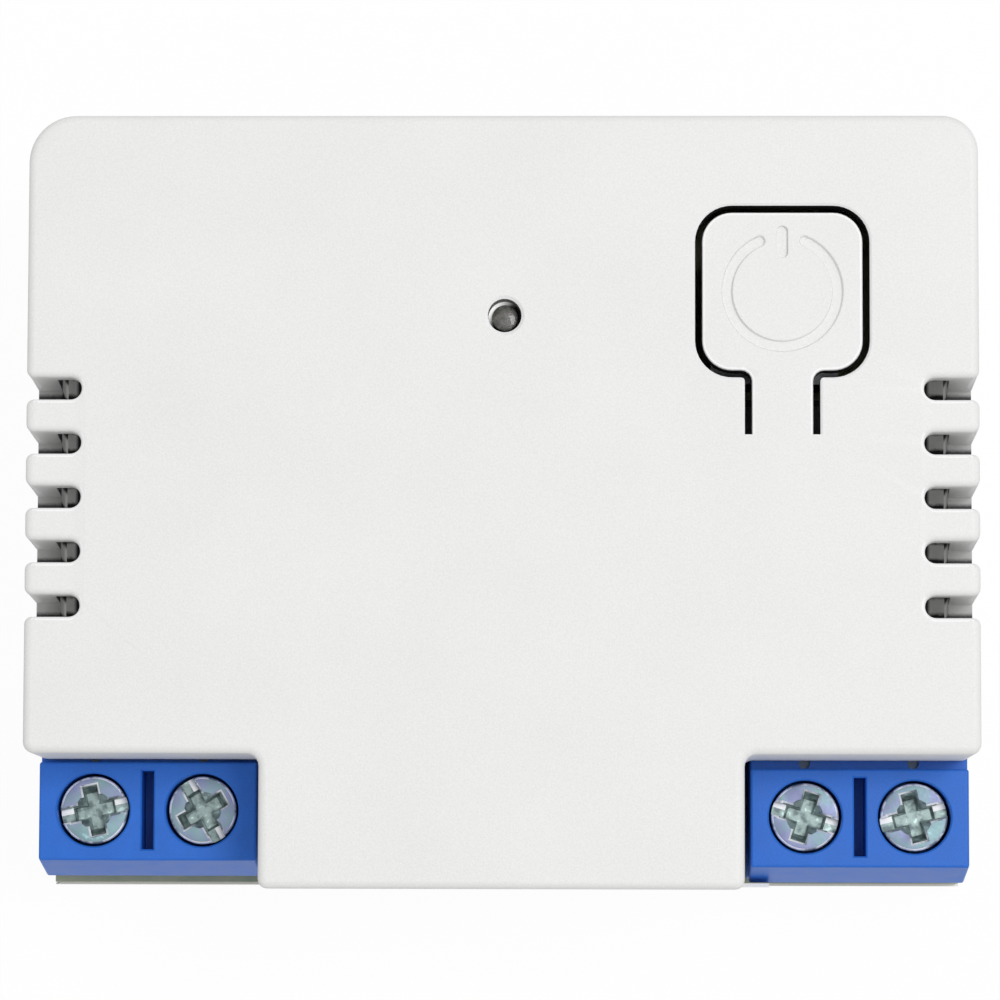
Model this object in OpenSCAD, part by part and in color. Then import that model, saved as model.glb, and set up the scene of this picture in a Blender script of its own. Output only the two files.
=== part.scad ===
// In-wall relay module: two snap-together covers around a circuit board with two screw terminal
// blocks, a sprung push tongue, a relay, a small power supply and a radio.
// The module lies on its back: X runs to the right, Y to the top edge, Z out of the front face.

/* [Case] */
// Width of the case along the terminal edge
case_w = 43; // [42:0.5:47]
// Height of the case from the terminal edge to the top edge
case_h = 35; // [34.5:0.5:38]
// Depth of the case from the rear face to the front face
case_d = 18; // [17.5:0.5:21]
// Thickness of the side walls
wall_t = 1; // [0.8:0.1:1.2]
// Thickness of the front wall
front_t = 1.2; // [1:0.1:1.5]
// Thickness of the rear plate
plate_t = 1.2; // [0.8:0.1:1.4]
// Lean of the terminal edge between the front face and the rear face
draft = 0.55; // [0.3:0.01:0.8]
// Height of the rim where the two covers meet
rim_h = 2.7; // [2.5:0.1:3.2]
// Radius of the two upper corners
corner_r = 1.9; // [1.3:0.1:2.6]
// Radius of the lower corners
foot_r = 0.5; // [0.2:0.1:0.8]
// Radius in the corner of each terminal notch
notch_r = 0.55; // [0.2:0.05:0.8]
// Height of the terminal notches
notch_h = 6.05; // [5.8:0.05:6.6]
// Thickness of the inner lip of the rear cover
lip_t = 0.9; // [0.7:0.1:1]
// Height of the top edge of the inner lip
lip_top = 10; // [8:0.5:11]
// Clearance around the inner lip
lip_gap = 0.1; // [0.05:0.05:0.2]
// Height of the snap ridges on the inner lip
snap_t = 0.35; // [0.25:0.05:0.45]
// Length of each snap ridge
snap_l = 6; // [4:0.5:9]
// Reach of the small lug beside the middle tab
lug_w = 1.37; // [1:0.01:2]
// Reach of the small lug above the terminal edge
lug_t = 0.45; // [0.4:0.01:0.48]
// Height of the lug's upper edge
lug_z = 9.5; // [9:0.1:10.5]
// Height of the lug
lug_h = 2; // [1:0.1:2.5]

/* [Vents] */
// Number of vent slots on each side
vent_count = 5; // [3:1:6]
// Spacing of the vent slots
vent_pitch = 2.46; // [2.2:0.02:2.6]
// Height of a vent slot
vent_h = 1; // [0.8:0.05:1.2]
// Reach of a vent slot into the front face
vent_reach = 2.5; // [2:0.1:3.2]
// Depth of a vent slot down the side wall
vent_depth = 5.4; // [4:0.1:6]
// Middle of the row of vents above the centre line
vent_y = 0.1; // [-1:0.1:1]

/* [Push tongue] */
// Distance of the tongue's middle from the right side of the case
tongue_side = 8.87; // [8.2:0.01:9.6]
// Width of the head
tongue_w = 7.24; // [6.6:0.05:7.6]
// Height of the head
tongue_h = 7.18; // [6.6:0.05:7.6]
// Distance of the head's middle from the top edge of the case
tongue_drop = 8.06; // [7.6:0.01:8.6]
// Corner radius of the head
tongue_r = 1.35; // [0.8:0.05:2]
// Width of the flexing neck
neck_w = 2.76; // [2.2:0.05:3.4]
// Distance of the neck's foot from the head's middle
neck_drop = 6.5; // [6:0.05:7.2]
// Width of the slit around the tongue
slit_w = 0.32; // [0.25:0.01:0.4]
// Radius of the cover's corner beside the neck
neck_r = 0.18; // [0.1:0.02:0.3]
// Radius of the post behind the head
post_r = 0.9; // [0.7:0.05:1.1]
// Gap between the post and the switch plunger
press_gap = 0.07; // [0.05:0.01:0.12]
// Middle radius of the engraved ring
ring_r = 2.5; // [2.2:0.05:2.8]
// Width of the engraved strokes
stroke_w = 0.5; // [0.35:0.05:0.6]
// Depth of the engraving
stroke_t = 0.2; // [0.1:0.05:0.3]
// Half angle of the gap at the top of the ring
ring_gap = 24; // [14:1:28]
// Length of the engraved bar
bar_l = 1.45; // [1.1:0.05:1.7]

/* [Indicator] */
// Place of the indicator hole to the right of the centre line
led_x = 0.1; // [-0.6:0.1:0.6]
// Distance of the indicator hole from the top edge of the case
led_drop = 9.16; // [8.6:0.02:9.8]
// Radius of the indicator hole
led_hole_r = 0.76; // [0.7:0.02:0.85]
// Radius of the light guide's tip
guide_tip_r = 0.6; // [0.45:0.05:0.65]
// Radius of the light guide's column
guide_r = 1; // [0.9:0.05:1.1]
// Depth of the tip below the front face
guide_sink = 1; // [0.8:0.05:1.1]
// Length of the tube behind the front wall that holds the guide
guide_tube_l = 3; // [2:0.25:4]
// Wall of that tube
guide_tube_t = 0.6; // [0.5:0.05:0.8]
// Fit between the guide and its tube
guide_fit = 0.02; // [0.01:0.01:0.04]
// Gap between the guide and the indicator chip
guide_gap = 0.2; // [0.1:0.05:0.4]
// Width of the indicator chip
led_w = 2; // [1.6:0.1:2.2]
// Length of the indicator chip
led_l = 1.25; // [0.8:0.05:1.6]
// Height of the indicator chip
led_h = 0.7; // [0.5:0.1:1]

/* [Circuit board] */
// Thickness of the board
board_t = 1.6; // [1.4:0.1:1.8]
// Clearance between the board and the case
board_gap = 0.2; // [0.1:0.05:0.3]
// Distance from the board's terminal edge to the case edge
board_inset = 0.57; // [0.4:0.01:0.7]
// Radius of the bosses under the board
boss_r = 1.3; // [1.1:0.1:1.5]
// Radius of the two locating pins
peg_r = 0.7; // [0.6:0.05:0.8]
// Clearance around locating pins and leads
lead_gap = 0.1; // [0.05:0.01:0.15]
// Radius of component leads
lead_r = 0.3; // [0.25:0.05:0.35]
// Length of the leads below the board
lead_below = 0.8; // [0.5:0.1:1]
// Least space between neighbouring components
part_gap = 0.5; // [0.4:0.1:0.7]
// Length of a small surface part
small_l = 1.6; // [1:0.1:2]
// Width of a small surface part
small_w = 0.8; // [0.5:0.05:1.2]
// Height of a small surface part
small_h = 0.6; // [0.4:0.05:0.9]

/* [Terminal blocks] */
// Spacing of the two poles in a block
pole_pitch = 5; // [4.9:0.05:5.2]
// Height of a block above the board
block_h = 7.7; // [7.5:0.1:8.2]
// Gap between a block and the middle tab
block_gap = 0.45; // [0.3:0.05:0.6]
// Distance of a block from the side of the case
block_inset = 0.15; // [0.05:0.05:0.3]
// Distance of the screws below the notch's upper edge
screw_drop = 2.35; // [2.25:0.01:2.38]
// How much lower the right block sits
block_sag = 0.25; // [0:0.01:0.28]
// Reach of the front face below the screws
block_low = 2.3; // [2.2:0.01:2.4]
// Reach of the sloping hood below the screws
hood_low = 2.95; // [2.85:0.01:2.98]
// Distance of the hood's edge above the board
hood_z = 3.9; // [3.6:0.1:4.2]
// Reach of the wire entry face below the screws
entry_low = 2.7; // [2.6:0.05:2.85]
// Reach of the block above the screws
block_back = 3.5; // [3.3:0.05:3.6]
// Start of the low shoulder above the screws
shoulder_y = 2.2; // [2.15:0.01:2.2]
// Drop of the low shoulder
shoulder_t = 0.9; // [0.7:0.05:1.1]
// Clearance between a block and the cover over it
cover_gap = 0.2; // [0.1:0.05:0.3]
// Radius of the round notches in the shoulder
nick_r = 0.27; // [0.26:0.01:0.35]
// Distance of the notches' middle from the start of the shoulder
nick_rise = 0.2; // [0.1:0.01:0.25]
// Depth of the notches below the shoulder
nick_t = 0.25; // [0.1:0.05:0.4]
// Width of the slit between the poles
divider_w = 0.55; // [0.3:0.05:0.6]
// Length of the slit between the poles
divider_l = 3.6; // [3:0.1:3.9]
// Depth of the slit between the poles
divider_t = 2.4; // [1.5:0.1:2.6]
// Radius of a wire entry
wire_r = 1.1; // [0.9:0.05:1.2]
// Height of the wire entries above the board
wire_z = 2.1; // [2:0.05:2.2]
// Radius of a screw well
well_r = 1.68; // [1.64:0.01:1.75]

/* [Clamps] */
// Radius of a screw head
head_r = 1.55; // [1.5:0.01:1.58]
// Height of a screw head
head_h = 1.2; // [1:0.05:1.3]
// Depth of a screw head below the block's face
head_sink = 0.4; // [0.2:0.05:0.6]
// Radius of the screw shank
shank_r = 1.2; // [1.1:0.05:1.25]
// Running clearance of shank and pivot
shank_gap = 0.05; // [0.02:0.01:0.08]
// Radius of the pivot under the shank
pivot_r = 0.5; // [0.4:0.05:0.6]
// Width of the screwdriver slot
slot_w = 0.62; // [0.5:0.02:0.7]
// Depth of the screwdriver slot
slot_t = 0.5; // [0.4:0.05:0.6]
// Length of the cross recess
cross_l = 2.3; // [2:0.1:2.8]
// Width of the cross recess
cross_w = 0.8; // [0.6:0.05:0.9]
// Depth of the cross recess
cross_t = 0.8; // [0.6:0.05:0.9]
// Travel of the clamp
clamp_travel = 1.2; // [1:0.05:1.25]
// Thickness of the clamp plate
clamp_t = 0.4; // [0.35:0.05:0.5]
// Width of the clamp plate
clamp_w = 3.2; // [2.8:0.1:3.4]
// Width of the metal cage
cage_w = 3.8; // [3.5:0.05:3.9]
// Reach of the cage below and above the screw
cage_reach = 1.75; // [1.7:0.05:1.8]
// Thickness of the cage's floor
cage_t = 0.5; // [0.4:0.05:0.55]
// Thickness of the cage's threaded top
thread_t = 0.9; // [0.8:0.05:1]
// Height of the cage's floor above the board
cage_z = 0.5; // [0.4:0.05:0.6]
// Room between the cage's floor and its top
cage_room = 2.7; // [2.6:0.05:2.75]
// Clearance around the cage
cage_gap = 0.05; // [0.03:0.01:0.08]
// Radius of the solder pins under the cages
pin_r = 0.5; // [0.4:0.05:0.55]

/* [Push switch] */
// Side of the square switch
switch_w = 6; // [5.8:0.1:6.2]
// Height of the switch base
switch_h = 3; // [2.7:0.1:3.2]
// Thickness of the metal frame on top
frame_t = 0.3; // [0.2:0.05:0.4]
// Height of the plunger's top above the board
plunger_top = 9.5; // [8.5:0.1:10]
// Radius of the plunger
plunger_r = 1.7; // [1.5:0.05:1.75]
// Radius of the plunger's collar
collar_r = 2.1; // [2:0.05:2.2]
// Height of the plunger's collar
collar_h = 0.5; // [0.4:0.05:0.6]
// Running clearance of the plunger
plunger_gap = 0.05; // [0.03:0.01:0.08]
// Height of the snap dome
dome_h = 0.6; // [0.5:0.05:0.7]
// Thickness of the snap dome
dome_t = 0.12; // [0.1:0.01:0.15]

/* [Relay] */
// Gap between the relay and the antenna
relay_end_gap = 0.8; // [0.5:0.05:1.5]
// Width of the relay
relay_w = 10.5; // [10:0.1:11]
// Gap between the relay and the front wall
relay_top_gap = 0.5; // [0.3:0.05:0.8]
// Headroom above the contact spring inside the relay
relay_headroom = 0.57; // [0.4:0.01:0.8]
// Wall of the relay case
relay_t = 0.7; // [0.5:0.05:0.8]
// Thickness of the relay base
relay_base_t = 2; // [1.8:0.1:2.1]
// Fit between base and case
relay_fit = 0.1; // [0.05:0.01:0.15]
// Thickness of the yoke and the armature
iron_t = 0.8; // [0.7:0.05:0.9]
// Width of the yoke and the armature
iron_w = 6; // [5:0.1:7]
// Radius of the coil core
core_r = 1.25; // [1:0.05:1.4]
// Radius of the bobbin's flanges
flange_r = 4; // [3.8:0.05:4.1]
// Thickness of the bobbin's flanges
flange_t = 0.6; // [0.5:0.05:0.7]
// Radius of the winding
winding_r = 3.7; // [3.4:0.05:3.75]
// Wall of the bobbin's barrel
barrel_t = 0.5; // [0.4:0.05:0.6]
// Height of the core above the bobbin
core_rise = 0.25; // [0.2:0.01:0.3]
// Air gap between the core and the armature
air_gap = 0.28; // [0.26:0.01:0.32]
// Opening between the contacts
contact_gap = 0.62; // [0.6:0.01:0.7]
// Radius of the contacts
contact_r = 1.1; // [0.9:0.05:1.3]
// Height of a contact
contact_h = 0.6; // [0.5:0.05:0.65]
// Thickness of the contact spring
spring_t = 0.2; // [0.15:0.01:0.25]
// Distance of the coil pins from the edges of the relay base
relay_pin_inset = 1; // [0.8:0.05:1.2]

/* [Power supply] */
// Radius of the bulk capacitor
bulk_r = 4; // [3.8:0.1:4.2]
// Gap between the bulk capacitor and the front wall
bulk_gap = 1; // [0.6:0.1:3]
// Radius of the output capacitor
out_r = 2.5; // [2.3:0.1:2.7]
// Height of the output capacitor
out_h = 8; // [6:0.5:10]
// Width of the transformer core
core_w = 8.3; // [8:0.1:9.2]
// Depth of the transformer core
core_l = 4; // [3.8:0.1:4.2]
// Height of the transformer core
core_h = 8; // [7.8:0.1:9]
// Width of the middle leg
leg_w = 2.4; // [2.2:0.1:2.6]
// Thickness of the outer legs and yokes of the core
leg_t = 1.2; // [1.1:0.05:1.3]
// Length of the winding across the core
coil_l = 8.4; // [8:0.1:8.6]
// Space between the transformer pieces
coil_gap = 0.1; // [0.05:0.01:0.15]
// Wall of the transformer bobbin
coil_t = 0.4; // [0.3:0.05:0.45]
// Height of the transformer's feet
coil_foot = 2.3; // [2.3:0.05:2.6]
// Radius of the varistor
varistor_r = 3.4; // [3:0.1:3.5]
// Thickness of the varistor
varistor_t = 3.2; // [2.6:0.1:3.4]
// Radius of the safety fuse
fuse_r = 1.7; // [1.4:0.05:1.75]
// Length of the fuse's end caps
fuse_cap = 2; // [1.5:0.1:2.4]
// Length of the fusible resistor
resistor_l = 5.5; // [5:0.1:6]
// Radius of the fusible resistor
resistor_r = 1.1; // [0.9:0.05:1.2]
// Length of the resistor's end caps
resistor_cap = 1; // [0.8:0.1:1.4]
// Length of the chip packages
chip_l = 4.9; // [4.6:0.1:5]
// Width of the chip packages
chip_w = 3.9; // [3.6:0.1:4]
// Height of the chip packages
chip_h = 1.5; // [1.2:0.1:2.2]
// Span of the current shunt
shunt_l = 7; // [6:0.5:8]
// Height of the current shunt
shunt_h = 3; // [2.5:0.1:3.5]
// Width of the current shunt strip
shunt_w = 1.6; // [1.2:0.1:2]
// Thickness of the current shunt strip
shunt_t = 0.5; // [0.4:0.05:0.6]

/* [Radio] */
// Gap between the radio board and the output capacitor
radio_gap = 1.6; // [1:0.1:3]
// Thickness of the radio board
radio_t = 0.8; // [0.6:0.1:1]
// Height of the shield
shield_h = 1.8; // [1.4:0.1:2.2]
// Wall of the shield
shield_t = 0.2; // [0.15:0.01:0.25]
// Margin of the radio board around the shield
shield_inset = 0.5; // [0.4:0.05:0.6]
// Radius of the antenna wire
antenna_r = 0.35; // [0.3:0.05:0.45]
// Height of the antenna above the board
antenna_h = 8; // [7:0.25:9]
// Bend radius of the antenna
antenna_bend = 1.5; // [1.2:0.1:2]
// Length of the antenna along the top edge
antenna_l = 22; // [18:0.5:23]

/* [Hidden] */
$fn = 64;
over = 1; // cutters run this far past a face
inner_r = 0.3; // radius of corners inside the case

// Levels and edges of the case
case_top = case_h / 2;
case_low = -case_h / 2;
case_side = case_w / 2;
front_in = case_d - front_t;
ledge_y = case_low + notch_h;
block_w = 2 * pole_pitch;
tab_side = case_side - block_w - block_gap - block_inset;
tongue_x = case_side - tongue_side;
tongue_y = case_top - tongue_drop;
neck_y = tongue_y - neck_drop;
led_y = case_top - led_drop;
lip_out = wall_t + lip_gap; // inset of the lip's outer face
lip_in = lip_out + lip_t; // inset of the lip's inner face

// Terminal blocks
board_z = rim_h;
board_top = board_z + board_t;
block_x = tab_side + block_gap + block_w / 2;
screw_y = ledge_y - screw_drop;
block_top = board_top + block_h;
block_back_y = screw_y + block_back;
shoulder_z = block_top - shoulder_t;
cover_z = shoulder_z + cover_gap; // lower edge of the cover over a block
lip_low = block_back_y + cover_gap + lip_gap;
function pole_x(i) = (i < 2 ? -block_x : block_x) + (i % 2 == 0 ? -1 : 1) * pole_pitch / 2;
function pole_y(i) = screw_y - (i < 2 ? 0 : block_sag);
screw_turn = [12, -60, -17, 14]; // rest angle of each screwdriver slot

// Clamps, from the board upwards
cage_floor = board_top + cage_z + cage_t;
cage_ceiling = cage_floor + cage_room;
cage_top = cage_ceiling + thread_t;
clamp_gap = 0.1; // space between the clamp plate and the threaded top
clamp_z = cage_ceiling - clamp_gap - clamp_t;
head_top = block_top - head_sink;
head_z = head_top - head_h;
well_floor = head_z - clamp_travel - clamp_gap;

// Board outline
board_side = case_side - lip_in - board_gap;
board_high = case_top - lip_in - board_gap;
board_low = case_low + board_inset;
tab_low = case_low + wall_t + draft + board_gap;
board_wide = case_side - block_inset;
board_half = [ // right half of the outline, from the tab upwards
    [tab_side + board_gap, tab_low], [tab_side + board_gap, board_low], [board_wide, board_low],
    [board_wide, block_back_y], [board_side, block_back_y], [board_side, board_high]
];
peg_x = tab_side - wall_t - 2 * boss_r;
peg_y = tab_low + boss_r + board_gap;
boss_x = board_side - boss_r - board_gap;
boss_y = board_high - boss_r - board_gap;
lead_low = board_z - lead_below;

// Leads of the wired components, from the middle of each component
lead_reach = 0.7; // distance of a bent lead from the end of its component
bulk_lead = 1.75;
out_lead = 1;
varistor_lead = 2.5;
fuse_l = tab_side - wall_t - 2 * part_gap - 2 * lead_reach - 2 * lead_r;
fuse_lead = fuse_l / 2 + lead_reach;
resistor_lead = resistor_l / 2 + lead_reach;
coil_pin_x = core_w / 3;
coil_pin_y = coil_l / 2 - lead_reach;

// Components, from left to right and upwards
relay_x = -board_side + part_gap + relay_w / 2;
relay_y = block_back_y + part_gap;
antenna_y = board_high - part_gap - antenna_r;
relay_l = antenna_y - antenna_r - relay_end_gap - relay_y;
relay_h = front_in - relay_top_gap - board_top;
relay_side = relay_x + relay_w / 2;
bulk_h = front_in - bulk_gap - board_top;
bulk_x = relay_side + part_gap + bulk_r;
bulk_y = block_back_y + part_gap + bulk_r;
coil_x = bulk_x + bulk_r + part_gap + core_w / 2;
coil_w = core_w - 2 * leg_t - 2 * coil_gap;
coil_y = block_back_y + part_gap + coil_l / 2;
out_x = coil_x + core_w / 2 + part_gap + out_r;
out_y = block_back_y + part_gap + out_r;
varistor_x = relay_side + part_gap + varistor_r;
varistor_y = bulk_y + bulk_r + part_gap + varistor_t / 2;
resistor_x = varistor_x + varistor_r + 2 * part_gap + resistor_l / 2;
resistor_y = coil_y + coil_l / 2 + 2 * part_gap + resistor_r;
bridge_x = relay_side + part_gap + chip_l / 2;
bridge_y = varistor_y + varistor_t / 2 + 2 * part_gap + chip_w / 2;
chip_x = tongue_x - switch_w / 2 - 2 * part_gap - chip_l / 2;
chip_y = led_y + chip_w;
radio_w = board_side - part_gap - (coil_x + core_w / 2 + part_gap);
radio_l = tongue_y - switch_w / 2 - part_gap - (out_y + out_r + radio_gap);
radio_x = board_side - part_gap - radio_w / 2;
radio_y = tongue_y - switch_w / 2 - part_gap - radio_l / 2;
fuse_x = -part_gap - fuse_lead - lead_r;
fuse_y = ledge_y - part_gap;
shunt_x = part_gap + shunt_l / 2;
antenna_x = boss_x - boss_r - part_gap - antenna_r;

// Relay, measured along its length from the terminal end
relay_u = relay_y + relay_t + relay_fit; // start of the base
relay_v = relay_w - 2 * relay_t - 2 * relay_fit; // width of the base
relay_n = relay_l - 2 * relay_t - 2 * relay_fit; // length of the base
base_top = board_top + relay_base_t;
yoke_y = relay_u + part_gap; // outer face of the yoke
pivot_y = yoke_y + iron_t; // edge that the armature rocks on
core_y = pivot_y + part_gap + flange_r;
bobbin_z = base_top + iron_t;
bobbin_l = relay_h - relay_base_t - core_rise - air_gap - spring_t - relay_headroom - relay_t - 2 * iron_t;
core_top = bobbin_z + bobbin_l + core_rise;
pivot_z = core_top + air_gap;
contact_y = relay_u + relay_n - contact_r - 2 * part_gap;
spring_z = pivot_z + iron_t;
moving_z = spring_z - contact_h; // lower face of the moving contact
fixed_z = moving_z - contact_gap; // upper face of the fixed contact
relay_pin_x = relay_v / 2 - relay_pin_inset;
relay_pin_y = relay_u + relay_pin_inset;
fixed_pin_y = contact_y + contact_r;

// Every lead that passes through the board: x, y and radius
lead_holes = concat(
    [for (i = [0:3]) [pole_x(i), pole_y(i), pin_r]],
    [for (s = [-1, 1]) [bulk_x + s * bulk_lead, bulk_y, lead_r]],
    [for (s = [-1, 1]) [out_x + s * out_lead, out_y, lead_r]],
    [for (s = [-1, 1]) [varistor_x + s * varistor_lead, varistor_y, lead_r]],
    [for (s = [-1, 1]) [fuse_x + s * fuse_lead, fuse_y, lead_r]],
    [for (s = [-1, 1]) [resistor_x + s * resistor_lead, resistor_y, lead_r]],
    [for (s = [-1, 1], t = [-1, 1]) [coil_x + s * coil_pin_x, coil_y + t * coil_pin_y, lead_r]],
    [for (s = [-1, 1]) [relay_x + s * relay_pin_x, relay_pin_y, lead_r]],
    [[relay_x, fixed_pin_y, lead_r], [antenna_x, antenna_y, antenna_r]],
    [for (s = [-1, 1]) [shunt_x + s * (shunt_l - shunt_t) / 2, fuse_y, lead_r]],
    [for (s = [-1, 1], t = [-1, 1]) switch_lead(s, t)]
);
function switch_lead(s, t) = [
    tongue_x + s * (switch_w / 2 - lead_r), tongue_y + t * switch_w / 3, lead_r
];

// Rectangle between two corners with separate radii below and above
module rounded_rect(x0, x1, y0, y1, low_r, high_r) {
    translate([x0, y0 + low_r]) square([x1 - x0, y1 - y0 - low_r - high_r]);
    translate([x0 + low_r, y0]) square([x1 - x0 - 2 * low_r, low_r]);
    translate([x0 + high_r, y1 - high_r]) square([x1 - x0 - 2 * high_r, high_r]);
    for (x = [x0 + low_r, x1 - low_r]) translate([x, y0 + low_r]) circle(low_r);
    for (x = [x0 + high_r, x1 - high_r]) translate([x, y1 - high_r]) circle(high_r);
}

// Box between two corners
module box(x0, x1, y0, y1, z0, z1) {
    translate([x0, y0, z0]) cube([x1 - x0, y1 - y0, z1 - z0]);
}

// Upright cylinder between two levels
module rod(x, y, z0, z1, r) {
    translate([x, y, z0]) cylinder(h = z1 - z0, r = r);
}

// Concave corner fillet, its corner at the origin and its material towards plus x and minus y
module corner_fillet(r) {
    difference() {
        translate([0, -r]) square(r);
        translate([r, -r]) circle(r);
    }
}

// Outline of the front cover: the full width above the ledge and the tab between the blocks
module cover_outline() {
    rounded_rect(-case_side, case_side, ledge_y, case_top, foot_r, corner_r);
    rounded_rect(-tab_side, tab_side, case_low, ledge_y + 2 * wall_t, foot_r, foot_r);
    for (s = [0, 1]) mirror([s, 0]) translate([tab_side, ledge_y]) corner_fillet(notch_r);
}

// The same outline inside the walls
module cavity_outline() {
    rounded_rect(-case_side + wall_t, case_side - wall_t, ledge_y + wall_t, case_top - wall_t,
        inner_r, max(corner_r - wall_t, inner_r));
    rounded_rect(-tab_side + wall_t, tab_side - wall_t, case_low + wall_t + draft,
        ledge_y + 3 * wall_t, inner_r, inner_r);
}

// Outline of the rear cover, inset by a distance
module rear_outline(inset) {
    rounded_rect(-case_side + inset, case_side - inset, case_low + inset, case_top - inset,
        max(foot_r - inset, inner_r), max(corner_r - inset, inner_r));
}

// Outline of the tongue, grown by a distance, cut off at the foot of its neck
module tongue_outline(grow) {
    half = neck_w / 2 + grow;
    head_low = tongue_y - tongue_h / 2 - grow;
    blend_r = neck_r + slit_w - grow;
    rounded_rect(tongue_x - tongue_w / 2 - grow, tongue_x + tongue_w / 2 + grow,
        head_low, tongue_y + tongue_h / 2 + grow, tongue_r + grow, tongue_r + grow);
    translate([tongue_x - half, neck_y]) square([2 * half, tongue_y - neck_y]);
    for (s = [0, 1])
        translate([tongue_x, head_low]) mirror([s, 0]) translate([half, 0]) corner_fillet(blend_r);
}

// Power mark: an open ring with round ends and a bar
module power_mark() {
    translate([tongue_x, tongue_y]) {
        difference() {
            circle(ring_r + stroke_w / 2);
            circle(ring_r - stroke_w / 2);
            polygon([[0, 0], for (s = [-1, 1]) 2 * ring_r * [s * sin(ring_gap), cos(ring_gap)]]);
        }
        for (s = [-1, 1])
            translate(ring_r * [s * sin(ring_gap), cos(ring_gap)]) circle(stroke_w / 2);
        translate([0, ring_r - stroke_w / 2]) {
            bar_straight = bar_l - stroke_w;
            translate([-stroke_w / 2, -bar_straight / 2]) square([stroke_w, bar_straight]);
            for (s = [-1, 1]) translate([0, s * bar_straight / 2]) circle(stroke_w / 2);
        }
    }
}

// Wedge that leans the terminal edge inwards towards the rear
module draft_cut() {
    steep = draft / case_d;
    translate([-case_w, 0, 0]) rotate([90, 0, 90]) linear_extrude(2 * case_w)
        polygon([
            [case_low, case_d], [case_low + steep * (case_d + over), -over],
            [case_low - over, -over], [case_low - over, case_d]
        ]);
}

// One vent slot on the right side, its round end inwards
module vent_cut() {
    end_x = case_side - vent_reach + vent_h / 2;
    box(end_x, case_side + over, -vent_h / 2, vent_h / 2, case_d - vent_depth, case_d + over);
    rod(end_x, 0, case_d - vent_depth, case_d + over, vent_h / 2);
}

// Front cover: shell with vents, tongue opening, indicator hole and room for the blocks
module front_cover() {
    snap_z = (rim_h + lip_top) / 2;
    color("whitesmoke") difference() {
        union() {
            difference() {
                translate([0, 0, rim_h]) linear_extrude(case_d - rim_h) cover_outline();
                translate([0, 0, rim_h - over]) linear_extrude(front_in - rim_h + over)
                    cavity_outline();
            }
            rod(led_x, led_y, front_in - guide_tube_l, front_in + front_t / 2,
                guide_r + guide_fit + guide_tube_t);
            box(tab_side - wall_t, tab_side + lug_w, case_low, case_low + lug_t,
                lug_z - lug_h, lug_z);
        }
        for (s = [0, 1]) mirror([s, 0, 0]) {
            for (i = [0:vent_count - 1])
                translate([0, vent_y + (i - (vent_count - 1) / 2) * vent_pitch, 0]) vent_cut();
            box(tab_side + block_gap / 2, case_side + over, ledge_y - over,
                block_back_y + cover_gap, rim_h - over, cover_z);
            box(tab_side - wall_t - board_gap, case_side + over, tab_low - board_gap,
                block_back_y + cover_gap, rim_h - over, board_top + board_gap);
            box(case_side - wall_t - over, case_side - wall_t + snap_t,
                vent_y - snap_l / 2 - lip_gap, vent_y + snap_l / 2 + lip_gap,
                snap_z - snap_t - lip_gap, snap_z + snap_t + lip_gap);
        }
        draft_cut();
        translate([0, 0, front_in - over]) linear_extrude(front_t + 2 * over)
            tongue_outline(slit_w);
        rod(led_x, led_y, front_in - over, case_d + over, led_hole_r);
        rod(led_x, led_y, front_in - guide_tube_l - over, front_in, guide_r + guide_fit);
    }
}

// Rear cover: plate, rim, inner lip with snap ridges, bosses and locating pins
module rear_cover() {
    snap_z = (rim_h + lip_top) / 2;
    lip_x = case_side - lip_out;
    color("white") {
        difference() {
            linear_extrude(rim_h) rear_outline(0);
            translate([0, 0, plate_t]) linear_extrude(rim_h) rear_outline(lip_in);
            draft_cut();
        }
        intersection() {
            difference() {
                translate([0, 0, plate_t]) linear_extrude(lip_top - plate_t) rear_outline(lip_out);
                linear_extrude(lip_top + over) rear_outline(lip_in);
            }
            box(-case_side, case_side, lip_low, case_top, 0, lip_top);
        }
        for (s = [0, 1]) mirror([s, 0, 0]) {
            translate([0, vent_y + snap_l / 2, snap_z]) rotate([90, 0, 0]) linear_extrude(snap_l)
                polygon([[lip_x - lip_t / 2, -snap_t], [lip_x, -snap_t], [lip_x + snap_t, 0],
                    [lip_x, snap_t], [lip_x - lip_t / 2, snap_t]]);
            rod(boss_x, boss_y, plate_t / 2, board_z, boss_r);
            rod(peg_x, peg_y, plate_t / 2, board_z, boss_r);
            rod(peg_x, peg_y, board_z - plate_t, board_top + peg_r, peg_r);
        }
    }
}

// Push tongue with its engraved mark and the post that reaches the switch
module button_tongue() {
    color("whitesmoke") {
        difference() {
            translate([0, 0, front_in]) linear_extrude(front_t) tongue_outline(0);
            translate([0, 0, case_d - stroke_t]) linear_extrude(stroke_t + over) power_mark();
        }
        rod(tongue_x, tongue_y, board_top + plunger_top + press_gap, front_in + front_t / 2, post_r);
    }
}

// Clear rod that carries light from the chip to the hole in the front
module light_guide() {
    color("gainsboro") {
        rod(led_x, led_y, board_top + led_h + guide_gap, front_in, guide_r);
        rod(led_x, led_y, front_in - guide_r, case_d - guide_sink, guide_tip_r);
    }
}

// Circuit board: narrow inside the lip and the tab, wide under the terminal blocks
module circuit_board() {
    color("olivedrab") difference() {
        translate([0, 0, board_z]) linear_extrude(board_t) polygon(concat(
            board_half, [for (i = [len(board_half) - 1:-1:0]) [-board_half[i][0], board_half[i][1]]]
        ));
        for (h = lead_holes) rod(h[0], h[1], board_z - over, board_top + over, h[2] + lead_gap);
        for (s = [-1, 1])
            rod(s * peg_x, peg_y, board_z - over, board_top + over, peg_r + lead_gap);
    }
}

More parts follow.
